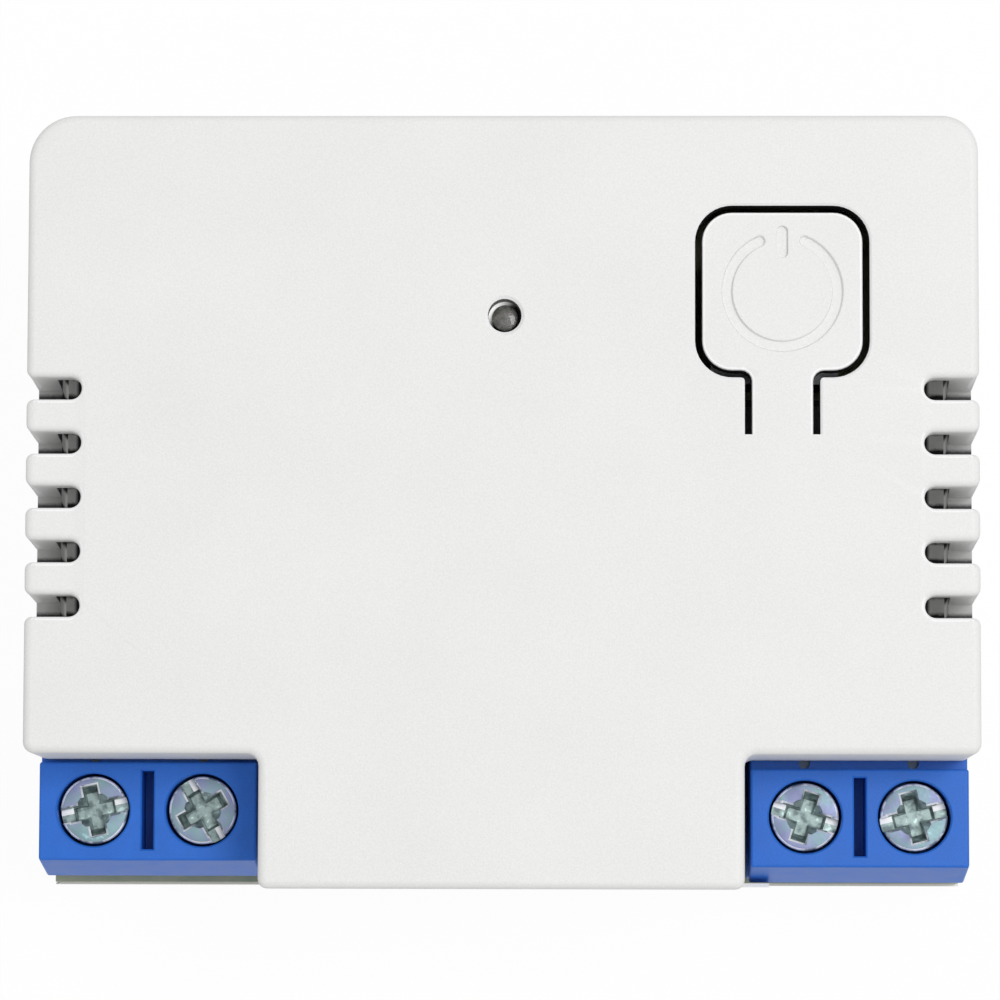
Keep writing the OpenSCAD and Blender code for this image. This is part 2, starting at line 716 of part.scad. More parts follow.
// Terminal block with two poles, drawn around its first pole
module terminal_block(first) {
    x = (pole_x(first) + pole_x(first + 1)) / 2;
    y = pole_y(first);
    color("royalblue") difference() {
        translate([x - block_w / 2, y, 0]) rotate([90, 0, 90]) linear_extrude(block_w)
            polygon([
                [-entry_low, board_top], [-entry_low, board_top + hood_z],
                [-hood_low, board_top + hood_z], [-block_low, block_top],
                [shoulder_y, block_top], [shoulder_y, shoulder_z],
                [block_back, shoulder_z], [block_back, board_top]
            ]);
        for (i = [first, first + 1]) {
            rod(pole_x(i), y, well_floor, block_top + over, well_r);
            rod(pole_x(i), y, cage_ceiling, block_top, shank_r + 3 * shank_gap);
            rod(pole_x(i), y + shoulder_y + nick_rise, shoulder_z - nick_t, block_top + over,
                nick_r);
            box(pole_x(i) - cage_w / 2 - cage_gap, pole_x(i) + cage_w / 2 + cage_gap,
                y - cage_reach - cage_gap, y + cage_reach + cage_gap, board_top - over, cage_top);
            translate([pole_x(i), y, board_top + wire_z]) rotate([90, 0, 0])
                cylinder(h = hood_low + over, r = wire_r);
        }
        box(x - divider_w / 2, x + divider_w / 2, y - divider_l / 2, y + divider_l / 2,
            block_top - divider_t, block_top + over);
    }
}

module left_terminal_block() terminal_block(0);

module right_terminal_block() terminal_block(2);

// Clamp screw with a slot across its head and a cross recess
module terminal_screw(i) {
    color("silver") translate([pole_x(i), pole_y(i), 0]) {
        difference() {
            rod(0, 0, head_z, head_top, head_r);
            rotate(screw_turn[i]) {
                box(-2 * head_r, 2 * head_r, -slot_w / 2, slot_w / 2, head_top - slot_t,
                    head_top + over);
                for (a = [0, 90]) rotate(a)
                    box(-cross_l / 2, cross_l / 2, -cross_w / 2, cross_w / 2,
                        head_top - cross_t, head_top + over);
            }
        }
        rod(0, 0, clamp_z + clamp_t, head_z, shank_r);
        rod(0, 0, clamp_z, clamp_z + clamp_t, pivot_r);
    }
}

// Plate under the screw that presses the wire onto the cage's floor
module clamp_plate(i) {
    color("lightgray") difference() {
        box(pole_x(i) - clamp_w / 2, pole_x(i) + clamp_w / 2, pole_y(i) - cage_reach + clamp_gap,
            pole_y(i) + shank_r, clamp_z, clamp_z + clamp_t);
        rod(pole_x(i), pole_y(i), clamp_z - over, clamp_z + clamp_t + over, pivot_r + shank_gap);
    }
}

// Metal cage with its threaded top, open towards the wire entry, and its solder pin
module terminal_cage(i) {
    color("gold") translate([pole_x(i), pole_y(i), 0]) {
        difference() {
            box(-cage_w / 2, cage_w / 2, -cage_reach, cage_reach, cage_floor - cage_t, cage_top);
            box(-cage_w, cage_w, -cage_reach - over, shank_r + clamp_gap, cage_floor, cage_ceiling);
            rod(0, 0, cage_ceiling - over, cage_top + over, shank_r + shank_gap);
        }
        rod(0, 0, lead_low, cage_floor - cage_t / 2, pin_r);
    }
}

// Switch base with the pocket for dome and plunger, and four legs
module switch_base() {
    color("dimgray") difference() {
        box(tongue_x - switch_w / 2, tongue_x + switch_w / 2, tongue_y - switch_w / 2,
            tongue_y + switch_w / 2, board_top, board_top + switch_h);
        rod(tongue_x, tongue_y, board_top + switch_h - dome_h - collar_h - plunger_gap,
            board_top + switch_h + over, collar_r + 2 * plunger_gap);
    }
    color("silver") for (s = [-1, 1], t = [-1, 1])
        rod(switch_lead(s, t)[0], switch_lead(s, t)[1], lead_low, board_top + lead_r, lead_r);
}

// Metal frame that keeps the plunger in the base
module switch_frame() {
    color("lightgray") difference() {
        box(tongue_x - switch_w / 2, tongue_x + switch_w / 2, tongue_y - switch_w / 2,
            tongue_y + switch_w / 2, board_top + switch_h, board_top + switch_h + frame_t);
        rod(tongue_x, tongue_y, board_top, board_top + switch_h + over, plunger_r + plunger_gap);
    }
}

// Plunger with the collar that rests on the dome
module switch_plunger() {
    collar_z = board_top + switch_h - plunger_gap - collar_h;
    color("black") {
        rod(tongue_x, tongue_y, collar_z, collar_z + collar_h, collar_r);
        rod(tongue_x, tongue_y, collar_z, board_top + plunger_top, plunger_r);
    }
}

// Thin snap dome under the plunger
module switch_dome() {
    dome_z = board_top + switch_h - plunger_gap - collar_h - dome_h;
    rim = collar_r - plunger_gap;
    dome_r = (rim * rim + dome_h * dome_h) / (2 * dome_h);
    color("silver") translate([tongue_x, tongue_y, dome_z]) intersection() {
        translate([0, 0, dome_h - dome_r]) difference() {
            sphere(dome_r);
            sphere(dome_r - dome_t);
        }
        cylinder(h = dome_h, r = rim);
    }
}

// Light-emitting chip under the guide
module indicator_led() {
    color("ivory") {
        box(led_x - led_w / 2, led_x + led_w / 2, led_y - led_l / 2, led_y + led_l / 2,
            board_top, board_top + led_h / 2);
        box(led_x - led_w / 3, led_x + led_w / 3, led_y - led_l / 2, led_y + led_l / 2,
            board_top, board_top + led_h);
    }
}

// Relay base plate
module relay_base() {
    color("darkslategray") difference() {
        box(relay_x - relay_v / 2, relay_x + relay_v / 2, relay_u, relay_u + relay_n,
            board_top, base_top);
        for (s = [-1, 1])
            rod(relay_x + s * relay_pin_x, relay_pin_y, board_top - over, base_top + over, lead_r);
        box(relay_x - contact_r, relay_x + contact_r, fixed_pin_y - spring_t - lead_gap,
            fixed_pin_y + spring_t + lead_gap, board_top - over, base_top + over);
    }
}

// Relay case, open towards the board
module relay_case() {
    color("steelblue") difference() {
        box(relay_x - relay_w / 2, relay_x + relay_w / 2, relay_y, relay_y + relay_l,
            board_top, board_top + relay_h);
        box(relay_x - relay_w / 2 + relay_t, relay_x + relay_w / 2 - relay_t, relay_y + relay_t,
            relay_y + relay_l - relay_t, board_top - over, board_top + relay_h - relay_t);
    }
}

// Coil bobbin around the core
module relay_bobbin() {
    color("seashell") difference() {
        union() {
            rod(relay_x, core_y, bobbin_z, bobbin_z + flange_t, flange_r);
            rod(relay_x, core_y, bobbin_z + bobbin_l - flange_t, bobbin_z + bobbin_l, flange_r);
            rod(relay_x, core_y, bobbin_z, bobbin_z + bobbin_l, core_r + barrel_t);
        }
        rod(relay_x, core_y, bobbin_z - over, bobbin_z + bobbin_l + over, core_r);
    }
}

// Copper winding on the bobbin, as one band
module relay_winding() {
    color("peru") difference() {
        rod(relay_x, core_y, bobbin_z + flange_t, bobbin_z + bobbin_l - flange_t, winding_r);
        rod(relay_x, core_y, bobbin_z, bobbin_z + bobbin_l, core_r + barrel_t);
    }
}

// Iron core riveted into the yoke
module relay_core() {
    color("gray") rod(relay_x, core_y, base_top, core_top, core_r);
}

// Angled yoke: foot under the bobbin and upright behind it
module relay_yoke() {
    color("lightslategray") difference() {
        union() {
            box(relay_x - iron_w / 2, relay_x + iron_w / 2, yoke_y, core_y + flange_r,
                base_top, base_top + iron_t);
            box(relay_x - iron_w / 2, relay_x + iron_w / 2, yoke_y, pivot_y, base_top, pivot_z);
        }
        rod(relay_x, core_y, base_top - over, base_top + iron_t + over, core_r);
    }
}

// Armature that rocks on the yoke's upper edge
module relay_armature() {
    color("lightslategray") box(relay_x - iron_w / 2, relay_x + iron_w / 2, yoke_y,
        core_y + flange_r, pivot_z, pivot_z + iron_t);
}

// Contact spring on the armature with the moving contact under its end
module relay_contact_spring() {
    half = iron_w / 4;
    color("goldenrod") {
        box(relay_x - half, relay_x + half, pivot_y + iron_t, contact_y + contact_r,
            spring_z, spring_z + spring_t);
        rod(relay_x, contact_y, moving_z, spring_z + spring_t / 2, contact_r);
    }
}

// Fixed contact on its bent strip, with its pin through the board
module relay_fixed_contact() {
    strip_z = fixed_z - contact_h;
    color("goldenrod") {
        box(relay_x - contact_r, relay_x + contact_r, contact_y - contact_r,
            fixed_pin_y + spring_t, strip_z - 2 * spring_t, strip_z);
        box(relay_x - contact_r, relay_x + contact_r, fixed_pin_y - spring_t,
            fixed_pin_y + spring_t, board_top, strip_z);
        rod(relay_x, contact_y, strip_z - spring_t, fixed_z, contact_r);
        rod(relay_x, fixed_pin_y, lead_low, board_top + spring_t, lead_r);
    }
}

// Two coil pins of the relay
module relay_pins() {
    color("silver") for (s = [-1, 1])
        rod(relay_x + s * relay_pin_x, relay_pin_y, lead_low, base_top, lead_r);
}

// Round capacitor standing on the board
module capacitor(x, y, r, h, spacing) {
    crimp = r / 12;
    color("darkslateblue") difference() {
        rod(x, y, board_top, board_top + h, r);
        translate([x, y, board_top + r / 3]) rotate_extrude() translate([r, 0]) circle(crimp);
    }
    color("silver") for (s = [-1, 1])
        rod(x + s * spacing, y, lead_low, board_top + lead_r, lead_r);
}

module bulk_capacitor() capacitor(bulk_x, bulk_y, bulk_r, bulk_h, bulk_lead);

module output_capacitor() capacitor(out_x, out_y, out_r, out_h, out_lead);

// Disc varistor standing on its two leads
module varistor() {
    disc_z = board_top + lead_r + varistor_r;
    color("mediumblue") {
        translate([varistor_x, varistor_y + varistor_t / 2, disc_z]) rotate([90, 0, 0])
            cylinder(h = varistor_t, r = varistor_r);
        for (s = [-1, 1])
            rod(varistor_x + s * varistor_lead, varistor_y, lead_low, disc_z, lead_r);
    }
}

// Axial component lying along X, its leads bent down through the board
module axial_part(x, y, l, r, lead_at, cap_l) {
    axis_z = board_top + r;
    translate([x - l / 2, y, axis_z]) rotate([0, 90, 0]) cylinder(h = l, r = r - cap_l / 8);
    for (s = [0, 1])
        translate([x - l / 2 + s * (l - cap_l), y, axis_z]) rotate([0, 90, 0])
            cylinder(h = cap_l, r = r);
    translate([x - lead_at - lead_r, y, axis_z]) rotate([0, 90, 0])
        cylinder(h = 2 * (lead_at + lead_r), r = lead_r);
    for (s = [-1, 1]) rod(x + s * lead_at, y, lead_low, axis_z, lead_r);
}

module safety_fuse() {
    color("beige") axial_part(fuse_x, fuse_y, fuse_l, fuse_r, fuse_lead, fuse_cap);
}

module fusible_resistor() {
    color("darkseagreen") axial_part(resistor_x, resistor_y, resistor_l, resistor_r, resistor_lead,
        resistor_cap);
}

// Chip package with four legs on each long side
module chip_package(x, y) {
    leg_count = 4;
    leg_w_each = 0.4;
    leg_reach = 0.5;
    foot_t = 0.2;
    color("black") box(x - chip_l / 2, x + chip_l / 2, y - chip_w / 2, y + chip_w / 2,
        board_top, board_top + chip_h);
    color("silver") for (i = [0:leg_count - 1]) {
        leg_x = x + (i - (leg_count - 1) / 2) * chip_l / leg_count;
        box(leg_x - leg_w_each / 2, leg_x + leg_w_each / 2, y - chip_w / 2 - leg_reach,
            y + chip_w / 2 + leg_reach, board_top, board_top + foot_t);
    }
}

module bridge_rectifier() chip_package(bridge_x, bridge_y);

module converter_chip() chip_package(chip_x, chip_y);

// Bent strip that the load current passes through
module current_shunt() {
    color("sandybrown") {
        difference() {
            box(shunt_x - shunt_l / 2, shunt_x + shunt_l / 2, fuse_y - shunt_w / 2,
                fuse_y + shunt_w / 2, board_top, board_top + shunt_h);
            box(shunt_x - shunt_l / 2 + shunt_t, shunt_x + shunt_l / 2 - shunt_t,
                fuse_y - shunt_w, fuse_y + shunt_w, board_top - over,
                board_top + shunt_h - shunt_t);
        }
        for (s = [-1, 1])
            rod(shunt_x + s * (shunt_l - shunt_t) / 2, fuse_y, lead_low, board_top + shunt_t, lead_r);
    }
}

// Levels of the transformer above its feet
coil_core_z = board_top + coil_foot - leg_t - coil_gap;
coil_low = board_top + coil_foot;
coil_high = coil_core_z + core_h - leg_t - coil_gap;
tube_w = leg_w + 2 * coil_gap + 2 * coil_t;
tube_l = core_l + 2 * coil_gap + 2 * coil_t;

// Ferrite core with a middle leg and two windows
module transformer_core() {
    window_w = (core_w - leg_w) / 2 - leg_t;
    color("darkgray") difference() {
        box(coil_x - core_w / 2, coil_x + core_w / 2, coil_y - core_l / 2, coil_y + core_l / 2,
            coil_core_z, coil_core_z + core_h);
        for (s = [0, 1]) translate([coil_x, 0, 0]) mirror([s, 0, 0])
            box(leg_w / 2, leg_w / 2 + window_w, coil_y - core_l, coil_y + core_l,
                coil_core_z + leg_t, coil_core_z + core_h - leg_t);
    }
}

// Bobbin: tube around the middle leg, two flanges and two feet
module transformer_bobbin() {
    foot_y = core_l / 2 + coil_gap;
    color("black") difference() {
        union() {
            for (z = [coil_low, coil_high - coil_t])
                box(coil_x - coil_w / 2, coil_x + coil_w / 2, coil_y - coil_l / 2,
                    coil_y + coil_l / 2, z, z + coil_t);
            box(coil_x - tube_w / 2, coil_x + tube_w / 2, coil_y - tube_l / 2,
                coil_y + tube_l / 2, coil_low, coil_high);
            for (s = [0, 1]) translate([0, coil_y, 0]) mirror([0, s, 0])
                box(coil_x - core_w / 2, coil_x + core_w / 2, foot_y, coil_l / 2,
                    board_top, coil_low + coil_t);
        }
        box(coil_x - leg_w / 2 - coil_gap, coil_x + leg_w / 2 + coil_gap,
            coil_y - core_l / 2 - coil_gap, coil_y + core_l / 2 + coil_gap,
            coil_low - over, coil_high + over);
    }
}

// Winding between the flanges, as one band
module transformer_winding() {
    color("khaki") difference() {
        box(coil_x - coil_w / 2 + coil_gap, coil_x + coil_w / 2 - coil_gap,
            coil_y - coil_l / 2 + coil_gap, coil_y + coil_l / 2 - coil_gap,
            coil_low + coil_t, coil_high - coil_t);
        box(coil_x - tube_w / 2, coil_x + tube_w / 2, coil_y - tube_l / 2, coil_y + tube_l / 2,
            coil_low, coil_high);
    }
}

// Pins of the transformer
module transformer_pins() {
    color("silver") for (s = [-1, 1], t = [-1, 1])
        rod(coil_x + s * coil_pin_x, coil_y + t * coil_pin_y, lead_low, board_top, lead_r);
}

// Small board of the radio, soldered flat on the main board
module radio_board() {
    color("darkgreen") box(radio_x - radio_w / 2, radio_x + radio_w / 2, radio_y - radio_l / 2,
        radio_y + radio_l / 2, board_top, board_top + radio_t);
}

// Sheet metal shield over the radio chip
module radio_shield() {
    half_w = radio_w / 2 - shield_inset;
    half_l = radio_l / 2 - shield_inset;
    shield_z = board_top + radio_t;
    color("silver") difference() {
        box(radio_x - half_w, radio_x + half_w, radio_y - half_l, radio_y + half_l,
            shield_z, shield_z + shield_h);
        box(radio_x - half_w + shield_t, radio_x + half_w - shield_t, radio_y - half_l + shield_t,
            radio_y + half_l - shield_t, shield_z - over, shield_z + shield_h - shield_t);
    }
}

// Antenna wire: up from the board, then along the top edge
module antenna_wire() {
    bend_z = board_top + antenna_h - antenna_bend;
    color("orangered") {
        rod(antenna_x, antenna_y, lead_low, bend_z, antenna_r);
        translate([antenna_x - antenna_bend, antenna_y, bend_z]) rotate([90, 0, 0])
            rotate_extrude(angle = 90) translate([antenna_bend, 0]) circle(antenna_r);
        translate([antenna_x - antenna_bend - antenna_l, antenna_y, bend_z + antenna_bend])
            rotate([0, 90, 0]) cylinder(h = antenna_l, r = antenna_r);
    }
}

// Small resistors and capacitors in two rows beside the chips
module surface_parts() {
    row_count = 3;
    row_pitch = small_l + part_gap;
    color("saddlebrown") for (i = [0:row_count - 1]) {
        translate([chip_x - chip_l / 2 - part_gap + i * row_pitch, led_y - 2 * small_w, board_top])
            cube([small_l, small_w, small_h]);
        translate([bridge_x - chip_l / 2 + i * row_pitch, boss_y - small_w, board_top])
            cube([small_l, small_w, small_h]);
    }
}

front_cover();
rear_cover();
button_tongue();
light_guide();
circuit_board();
left_terminal_block();
right_terminal_block();
terminal_screw(0);  // terminal_screw_1
terminal_screw(1);  // terminal_screw_2
terminal_screw(2);  // terminal_screw_3
terminal_screw(3);  // terminal_screw_4
clamp_plate(0);  // clamp_plate_1
clamp_plate(1);  // clamp_plate_2
clamp_plate(2);  // clamp_plate_3
clamp_plate(3);  // clamp_plate_4
terminal_cage(0);  // terminal_cage_1
terminal_cage(1);  // terminal_cage_2
terminal_cage(2);  // terminal_cage_3
terminal_cage(3);  // terminal_cage_4
switch_base();
switch_frame();
switch_plunger();
switch_dome();
indicator_led();
relay_base();
relay_case();
relay_bobbin();
relay_winding();
relay_core();
relay_yoke();
relay_armature();
relay_contact_spring();
relay_fixed_contact();
relay_pins();
bulk_capacitor();
output_capacitor();
varistor();
safety_fuse();
fusible_resistor();
bridge_rectifier();
converter_chip();
current_shunt();
transformer_core();
transformer_bobbin();
transformer_winding();
transformer_pins();
radio_board();
radio_shield();
antenna_wire();
surface_parts();
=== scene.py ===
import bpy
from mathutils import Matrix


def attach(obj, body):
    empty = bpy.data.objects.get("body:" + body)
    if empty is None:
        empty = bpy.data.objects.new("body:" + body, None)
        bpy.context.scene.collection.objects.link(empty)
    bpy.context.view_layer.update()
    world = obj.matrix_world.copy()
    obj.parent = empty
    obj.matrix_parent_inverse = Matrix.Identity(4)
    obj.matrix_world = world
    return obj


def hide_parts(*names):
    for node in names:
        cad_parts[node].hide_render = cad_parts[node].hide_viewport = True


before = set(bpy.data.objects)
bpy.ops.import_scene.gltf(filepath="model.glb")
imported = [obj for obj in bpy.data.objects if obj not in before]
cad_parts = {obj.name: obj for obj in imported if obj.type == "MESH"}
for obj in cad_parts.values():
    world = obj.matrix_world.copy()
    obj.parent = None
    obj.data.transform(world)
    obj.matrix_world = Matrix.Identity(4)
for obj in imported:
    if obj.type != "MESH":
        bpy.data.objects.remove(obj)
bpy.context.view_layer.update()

import math
import bmesh
import bpy
from mathutils import Matrix, Vector

mm = 0.001  # pieces are modelled in millimetres and brought to metres when they are finished
near = 0.01  # places closer than this count as the same
past = 1.0  # a straight cutter goes this far past the face it cuts
over = 0.2  # and a slanted one this far
spare = 0.1  # and one that shapes another cutter this far past that
hair = 0.002  # keeps a full round from closing on itself
square = 0.9  # share of an axis in a normal that counts as square to it


# modelling steps, each the way it is done by hand

def activate(piece):
    bpy.ops.object.select_all(action="DESELECT")
    piece.select_set(True)
    bpy.context.view_layer.objects.active = piece


def addBox(name, low, high):
    bpy.ops.object.select_all(action="DESELECT")
    bpy.ops.mesh.primitive_cube_add(size=1, location=[(a + b) / 2 for a, b in zip(low, high)])
    piece = bpy.context.object
    piece.name = name
    piece.scale = [b - a for a, b in zip(low, high)]
    bpy.ops.object.transform_apply(location=True, rotation=True, scale=True)
    return piece


def addRod(name, place, low, high, radius, topRadius=None, sides=48):
    bpy.ops.object.select_all(action="DESELECT")
    bpy.ops.mesh.primitive_cone_add(
        vertices=sides, radius1=radius, radius2=radius if topRadius is None else topRadius,
        depth=high - low, location=(place[0], place[1], (low + high) / 2))
    piece = bpy.context.object
    piece.name = name
    bpy.ops.object.transform_apply(location=True, rotation=True, scale=True)
    return piece


def turned(piece, angle, axis, place=(0, 0, 0)):  # turns about the origin, then moves to a place
    activate(piece)
    piece.matrix_world = Matrix.Translation(place) @ Matrix.Rotation(angle, 4, axis)
    bpy.ops.object.transform_apply(location=True, rotation=True, scale=True)
    return piece


def centre(part):
    return sum((v.co for v in part.verts), Vector()) / len(part.verts)


def pick(piece, kind, test):
    activate(piece)
    bpy.ops.object.mode_set(mode="EDIT")
    bpy.ops.mesh.select_mode(type=kind)
    bpy.ops.mesh.select_all(action="DESELECT")
    mesh = bmesh.from_edit_mesh(piece.data)
    mesh.normal_update()
    for part in {"VERT": mesh.verts, "EDGE": mesh.edges, "FACE": mesh.faces}[kind]:
        if test(part):
            part.select_set(True)
    mesh.select_flush_mode()
    bmesh.update_edit_mesh(piece.data)


def leave():
    bpy.ops.object.mode_set(mode="OBJECT")


def roundEdges(piece, width, segments, test):
    pick(piece, "EDGE", test)
    bpy.ops.mesh.bevel(offset=width, segments=segments, profile=0.5, affect="EDGES")
    leave()


def upright(edge, x, y, tall=0.1, lean=0.6, miss=0.02):  # an edge along z, one end of it at this place
    a, b = (v.co for v in edge.verts)
    level = max(abs(a.x - x), abs(b.x - x), abs(a.y - y), abs(b.y - y))
    closest = min((end.xy - Vector((x, y))).length for end in (a, b))
    return abs(a.z - b.z) > tall and level < lean and closest < miss


def roundCorners(piece, width, segments, places):
    roundEdges(piece, width, segments, lambda e: any(upright(e, *place) for place in places))


def pushFaces(piece, step, test):
    pick(piece, "FACE", test)
    bpy.ops.mesh.extrude_region_move(TRANSFORM_OT_translate={"value": step})
    leave()


def moveVerts(piece, step, test):
    pick(piece, "VERT", test)
    bpy.ops.transform.translate(value=step)
    leave()


def splitAt(piece, place, normal):
    pick(piece, "FACE", lambda face: True)
    bpy.ops.mesh.bisect(plane_co=place, plane_no=normal)
    leave()


def combine(piece, others, operation="DIFFERENCE"):
    for other in others:
        activate(piece)
        step = piece.modifiers.new("step", "BOOLEAN")
        step.object, step.operation, step.solver = other, operation, "EXACT"
        bpy.ops.object.modifier_apply(modifier=step.name)
        bpy.data.objects.remove(other, do_unlink=True)


def flaredRod(place, low, level, radius, rim, sides):  # a hole cutter with a small chamfer at its mouth
    rod = addRod("hole", place, low, level + past, radius, None, sides)
    mouth = addRod("mouth", place, level - rim, level + over, radius, radius + rim + over, sides)
    return [rod, mouth]


def flaredBox(low, high, rim, taper=1.0):  # a slot cutter with a small chamfer at its mouth, at high
    rise = rim + over
    box = addBox("slot", low, (high[0], high[1], high[2] - rim))
    pick(box, "FACE", lambda f: f.normal.z < -square)
    bpy.ops.transform.resize(value=(taper, taper, 1))
    leave()
    pushFaces(box, (0, 0, rise), lambda f: f.normal.z > square)
    for i, (a, b) in enumerate(zip(low[:2], high[:2])):
        for sign in (-1, 1):
            step = [0, 0, 0]
            step[i] = sign * rise
            moveVerts(box, step, lambda v: v.co.z > high[2] and (v.co[i] - (a + b) / 2) * sign > 0)
    return box


def tidyMesh(piece, triangles=False, join=0.0005, thin=0.0005):  # joins the loose ends that the cuts leave
    pick(piece, "VERT", lambda vert: True)
    bpy.ops.mesh.remove_doubles(threshold=join)
    bpy.ops.mesh.dissolve_degenerate(threshold=thin)
    if triangles:
        bpy.ops.mesh.quads_convert_to_tris(quad_method="BEAUTY", ngon_method="BEAUTY")
    leave()


def mergeFlat(piece, limit=0.5):  # one face for each side that is flat within this many degrees
    pick(piece, "FACE", lambda face: True)
    bpy.ops.mesh.dissolve_limited(angle_limit=math.radians(limit))
    leave()


def softenEdges(piece, widthOf, widest, segments=3, least=0.35):  # least is the angle that counts as an edge
    mesh = bmesh.new()
    mesh.from_mesh(piece.data)
    mesh.normal_update()
    weights = mesh.edges.layers.float.new("bevel_weight_edge")
    for edge in mesh.edges:
        if len(edge.link_faces) == 2 and edge.calc_face_angle() > least:
            edge[weights] = min(1, widthOf(centre(edge), edge) / widest)
    mesh.to_mesh(piece.data)
    mesh.free()
    activate(piece)
    step = piece.modifiers.new("soften", "BEVEL")
    step.limit_method, step.width, step.segments = "WEIGHT", widest, segments
    step.use_clamp_overlap = False
    bpy.ops.object.modifier_apply(modifier=step.name)


def finishPiece(piece, body, node, finishes, smooth=34):
    activate(piece)
    piece.scale = (mm, mm, mm)
    bpy.ops.object.transform_apply(location=True, rotation=True, scale=True)
    bpy.ops.object.shade_smooth_by_angle(angle=math.radians(smooth))
    step = piece.modifiers.new("normals", "WEIGHTED_NORMAL")
    step.keep_sharp = True
    bpy.ops.object.modifier_apply(modifier=step.name)
    if piece.data.materials:  # a copy of a solid brings its own
        piece.data.materials.clear()
    for finish in finishes:
        piece.data.materials.append(finish)
    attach(piece, body)
    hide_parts(node)


def paintFaces(piece, rules, unit=mm):  # each rule is a finish's number and a test of a face's place and normal
    for index, test in rules:
        for face in piece.data.polygons:
            if test(face.center / unit, face.normal):
                face.material_index = index


def isWall(normal):
    return abs(normal.z) < 0.3


def isChamfer(normal):  # slants towards the front
    return 0.2 < normal.z < 0.98


# finishes

class Wire:  # a socket in a sum
    def __init__(self, tree, socket):
        self.tree, self.socket = tree, socket

    def math(self, operation, left, right):
        node = self.tree.nodes.new("ShaderNodeMath")
        node.operation = operation
        for socket, value in zip(node.inputs, (left, right)):
            if isinstance(value, Wire):
                self.tree.links.new(value.socket, socket)
            else:
                socket.default_value = value
        return Wire(self.tree, node.outputs[0])

    def __add__(self, other): return self.math("ADD", self, other)
    def __radd__(self, other): return self.math("ADD", other, self)
    def __sub__(self, other): return self.math("SUBTRACT", self, other)
    def __rsub__(self, other): return self.math("SUBTRACT", other, self)
    def __mul__(self, other): return self.math("MULTIPLY", self, other)
    def __rmul__(self, other): return self.math("MULTIPLY", other, self)
    def __gt__(self, other): return self.math("GREATER_THAN", self, other)
    def __lt__(self, other): return self.math("LESS_THAN", self, other)


class Graph:  # the nodes of a finish or of the world
    def __init__(self, owner):
        owner.use_nodes = True
        self.tree = owner.node_tree
        self.tree.nodes.clear()

    def plug(self, socket, value):
        if isinstance(value, Wire):
            self.tree.links.new(value.socket, socket)
        elif isinstance(value, tuple) and len(value) == 3 and socket.type == "RGBA":
            socket.default_value = (*value, 1)
        else:
            socket.default_value = value

    def node(self, kind, settings=None, sockets=None, output=0):
        node = self.tree.nodes.new(kind)
        for name, value in (settings or {}).items():
            if name == "stops":
                while len(node.color_ramp.elements) < len(value):
                    node.color_ramp.elements.new(0.5)
                for stop, (at, tone) in zip(node.color_ramp.elements, value):
                    stop.position = at
                    stop.color = (*tone, 1) if isinstance(tone, tuple) else (tone, tone, tone, 1)
            else:
                setattr(node, name, value)
        for name, value in (sockets or {}).items():
            self.plug(node.inputs[name], value)
        return Wire(self.tree, node.outputs[output]) if node.outputs else None

    def seen(self):  # 1 for what the camera sees, straight or in metal and glass
        straight, mirrored, through = (
            self.node("ShaderNodeLightPath", output=name)
            for name in ("Is Camera Ray", "Is Glossy Ray", "Is Transmission Ray"))
        return straight + mirrored + through > 0.5


class Finish(Graph):
    def __init__(self, name, **sockets):
        self.material = bpy.data.materials.new(name)
        super().__init__(self.material)
        surface = self.node("ShaderNodeBsdfPrincipled")
        self.node("ShaderNodeOutputMaterial", None, {"Surface": surface})
        self.shader = surface.socket.node
        self.place = self.node("ShaderNodeTexCoord", output="Object")
        self.set(**sockets)

    def set(self, **sockets):
        for name, value in sockets.items():
            self.plug(self.shader.inputs[name.replace("_", " ")], value)

    def speckle(self, size, detail=2.0, rough=0.5, stretch=None):  # size in millimetres
        at = self.place
        if stretch:
            at = self.node("ShaderNodeMapping", None, {"Vector": at, "Scale": stretch})
        return self.node("ShaderNodeTexNoise", None, {
            "Vector": at, "Scale": 1 / (size * mm), "Detail": detail, "Roughness": rough})

    def ramp(self, value, *stops):
        return self.node("ShaderNodeValToRGB", {"stops": stops}, {"Fac": value})

    def mix(self, factor, first, second):
        return self.node("ShaderNodeMix", {"data_type": "RGBA"}, {0: factor, 6: first, 7: second}, 2)

    def axis(self, letter):
        return self.node("ShaderNodeSeparateXYZ", None, {"Vector": self.place}, letter)

    def dent(self, height, depth):  # depth in millimetres
        self.set(Normal=self.node("ShaderNodeBump", None, {
            "Height": height, "Distance": depth * mm, "Strength": 1.0}))


def shade(tone, factor):
    return tuple(min(1, c * factor) for c in tone)


def linear(*tone):  # a colour as a screen shows it, 0 to 255
    return tuple((c / 255 / 12.92) if c < 11 else ((c / 255 + 0.055) / 1.055) ** 2.4 for c in tone)


def mouldedPlastic(name, tone, grain=0.12, depth=0.004, vary=0.05, rough=0.5, mottle=2.5, gloss=0.16,
                   **sockets):
    finish = Finish(name, **sockets)
    cloud, fine = finish.speckle(mottle, 3), finish.speckle(grain, 2)
    blend = cloud * 0.5 + fine * 0.5
    finish.set(Base_Color=finish.ramp(blend, (0.3, shade(tone, 1 - vary)), (0.7, shade(tone, 1 + vary))))
    finish.set(Roughness=cloud * gloss + (rough - gloss / 2))
    finish.dent(fine, depth)
    return finish.material


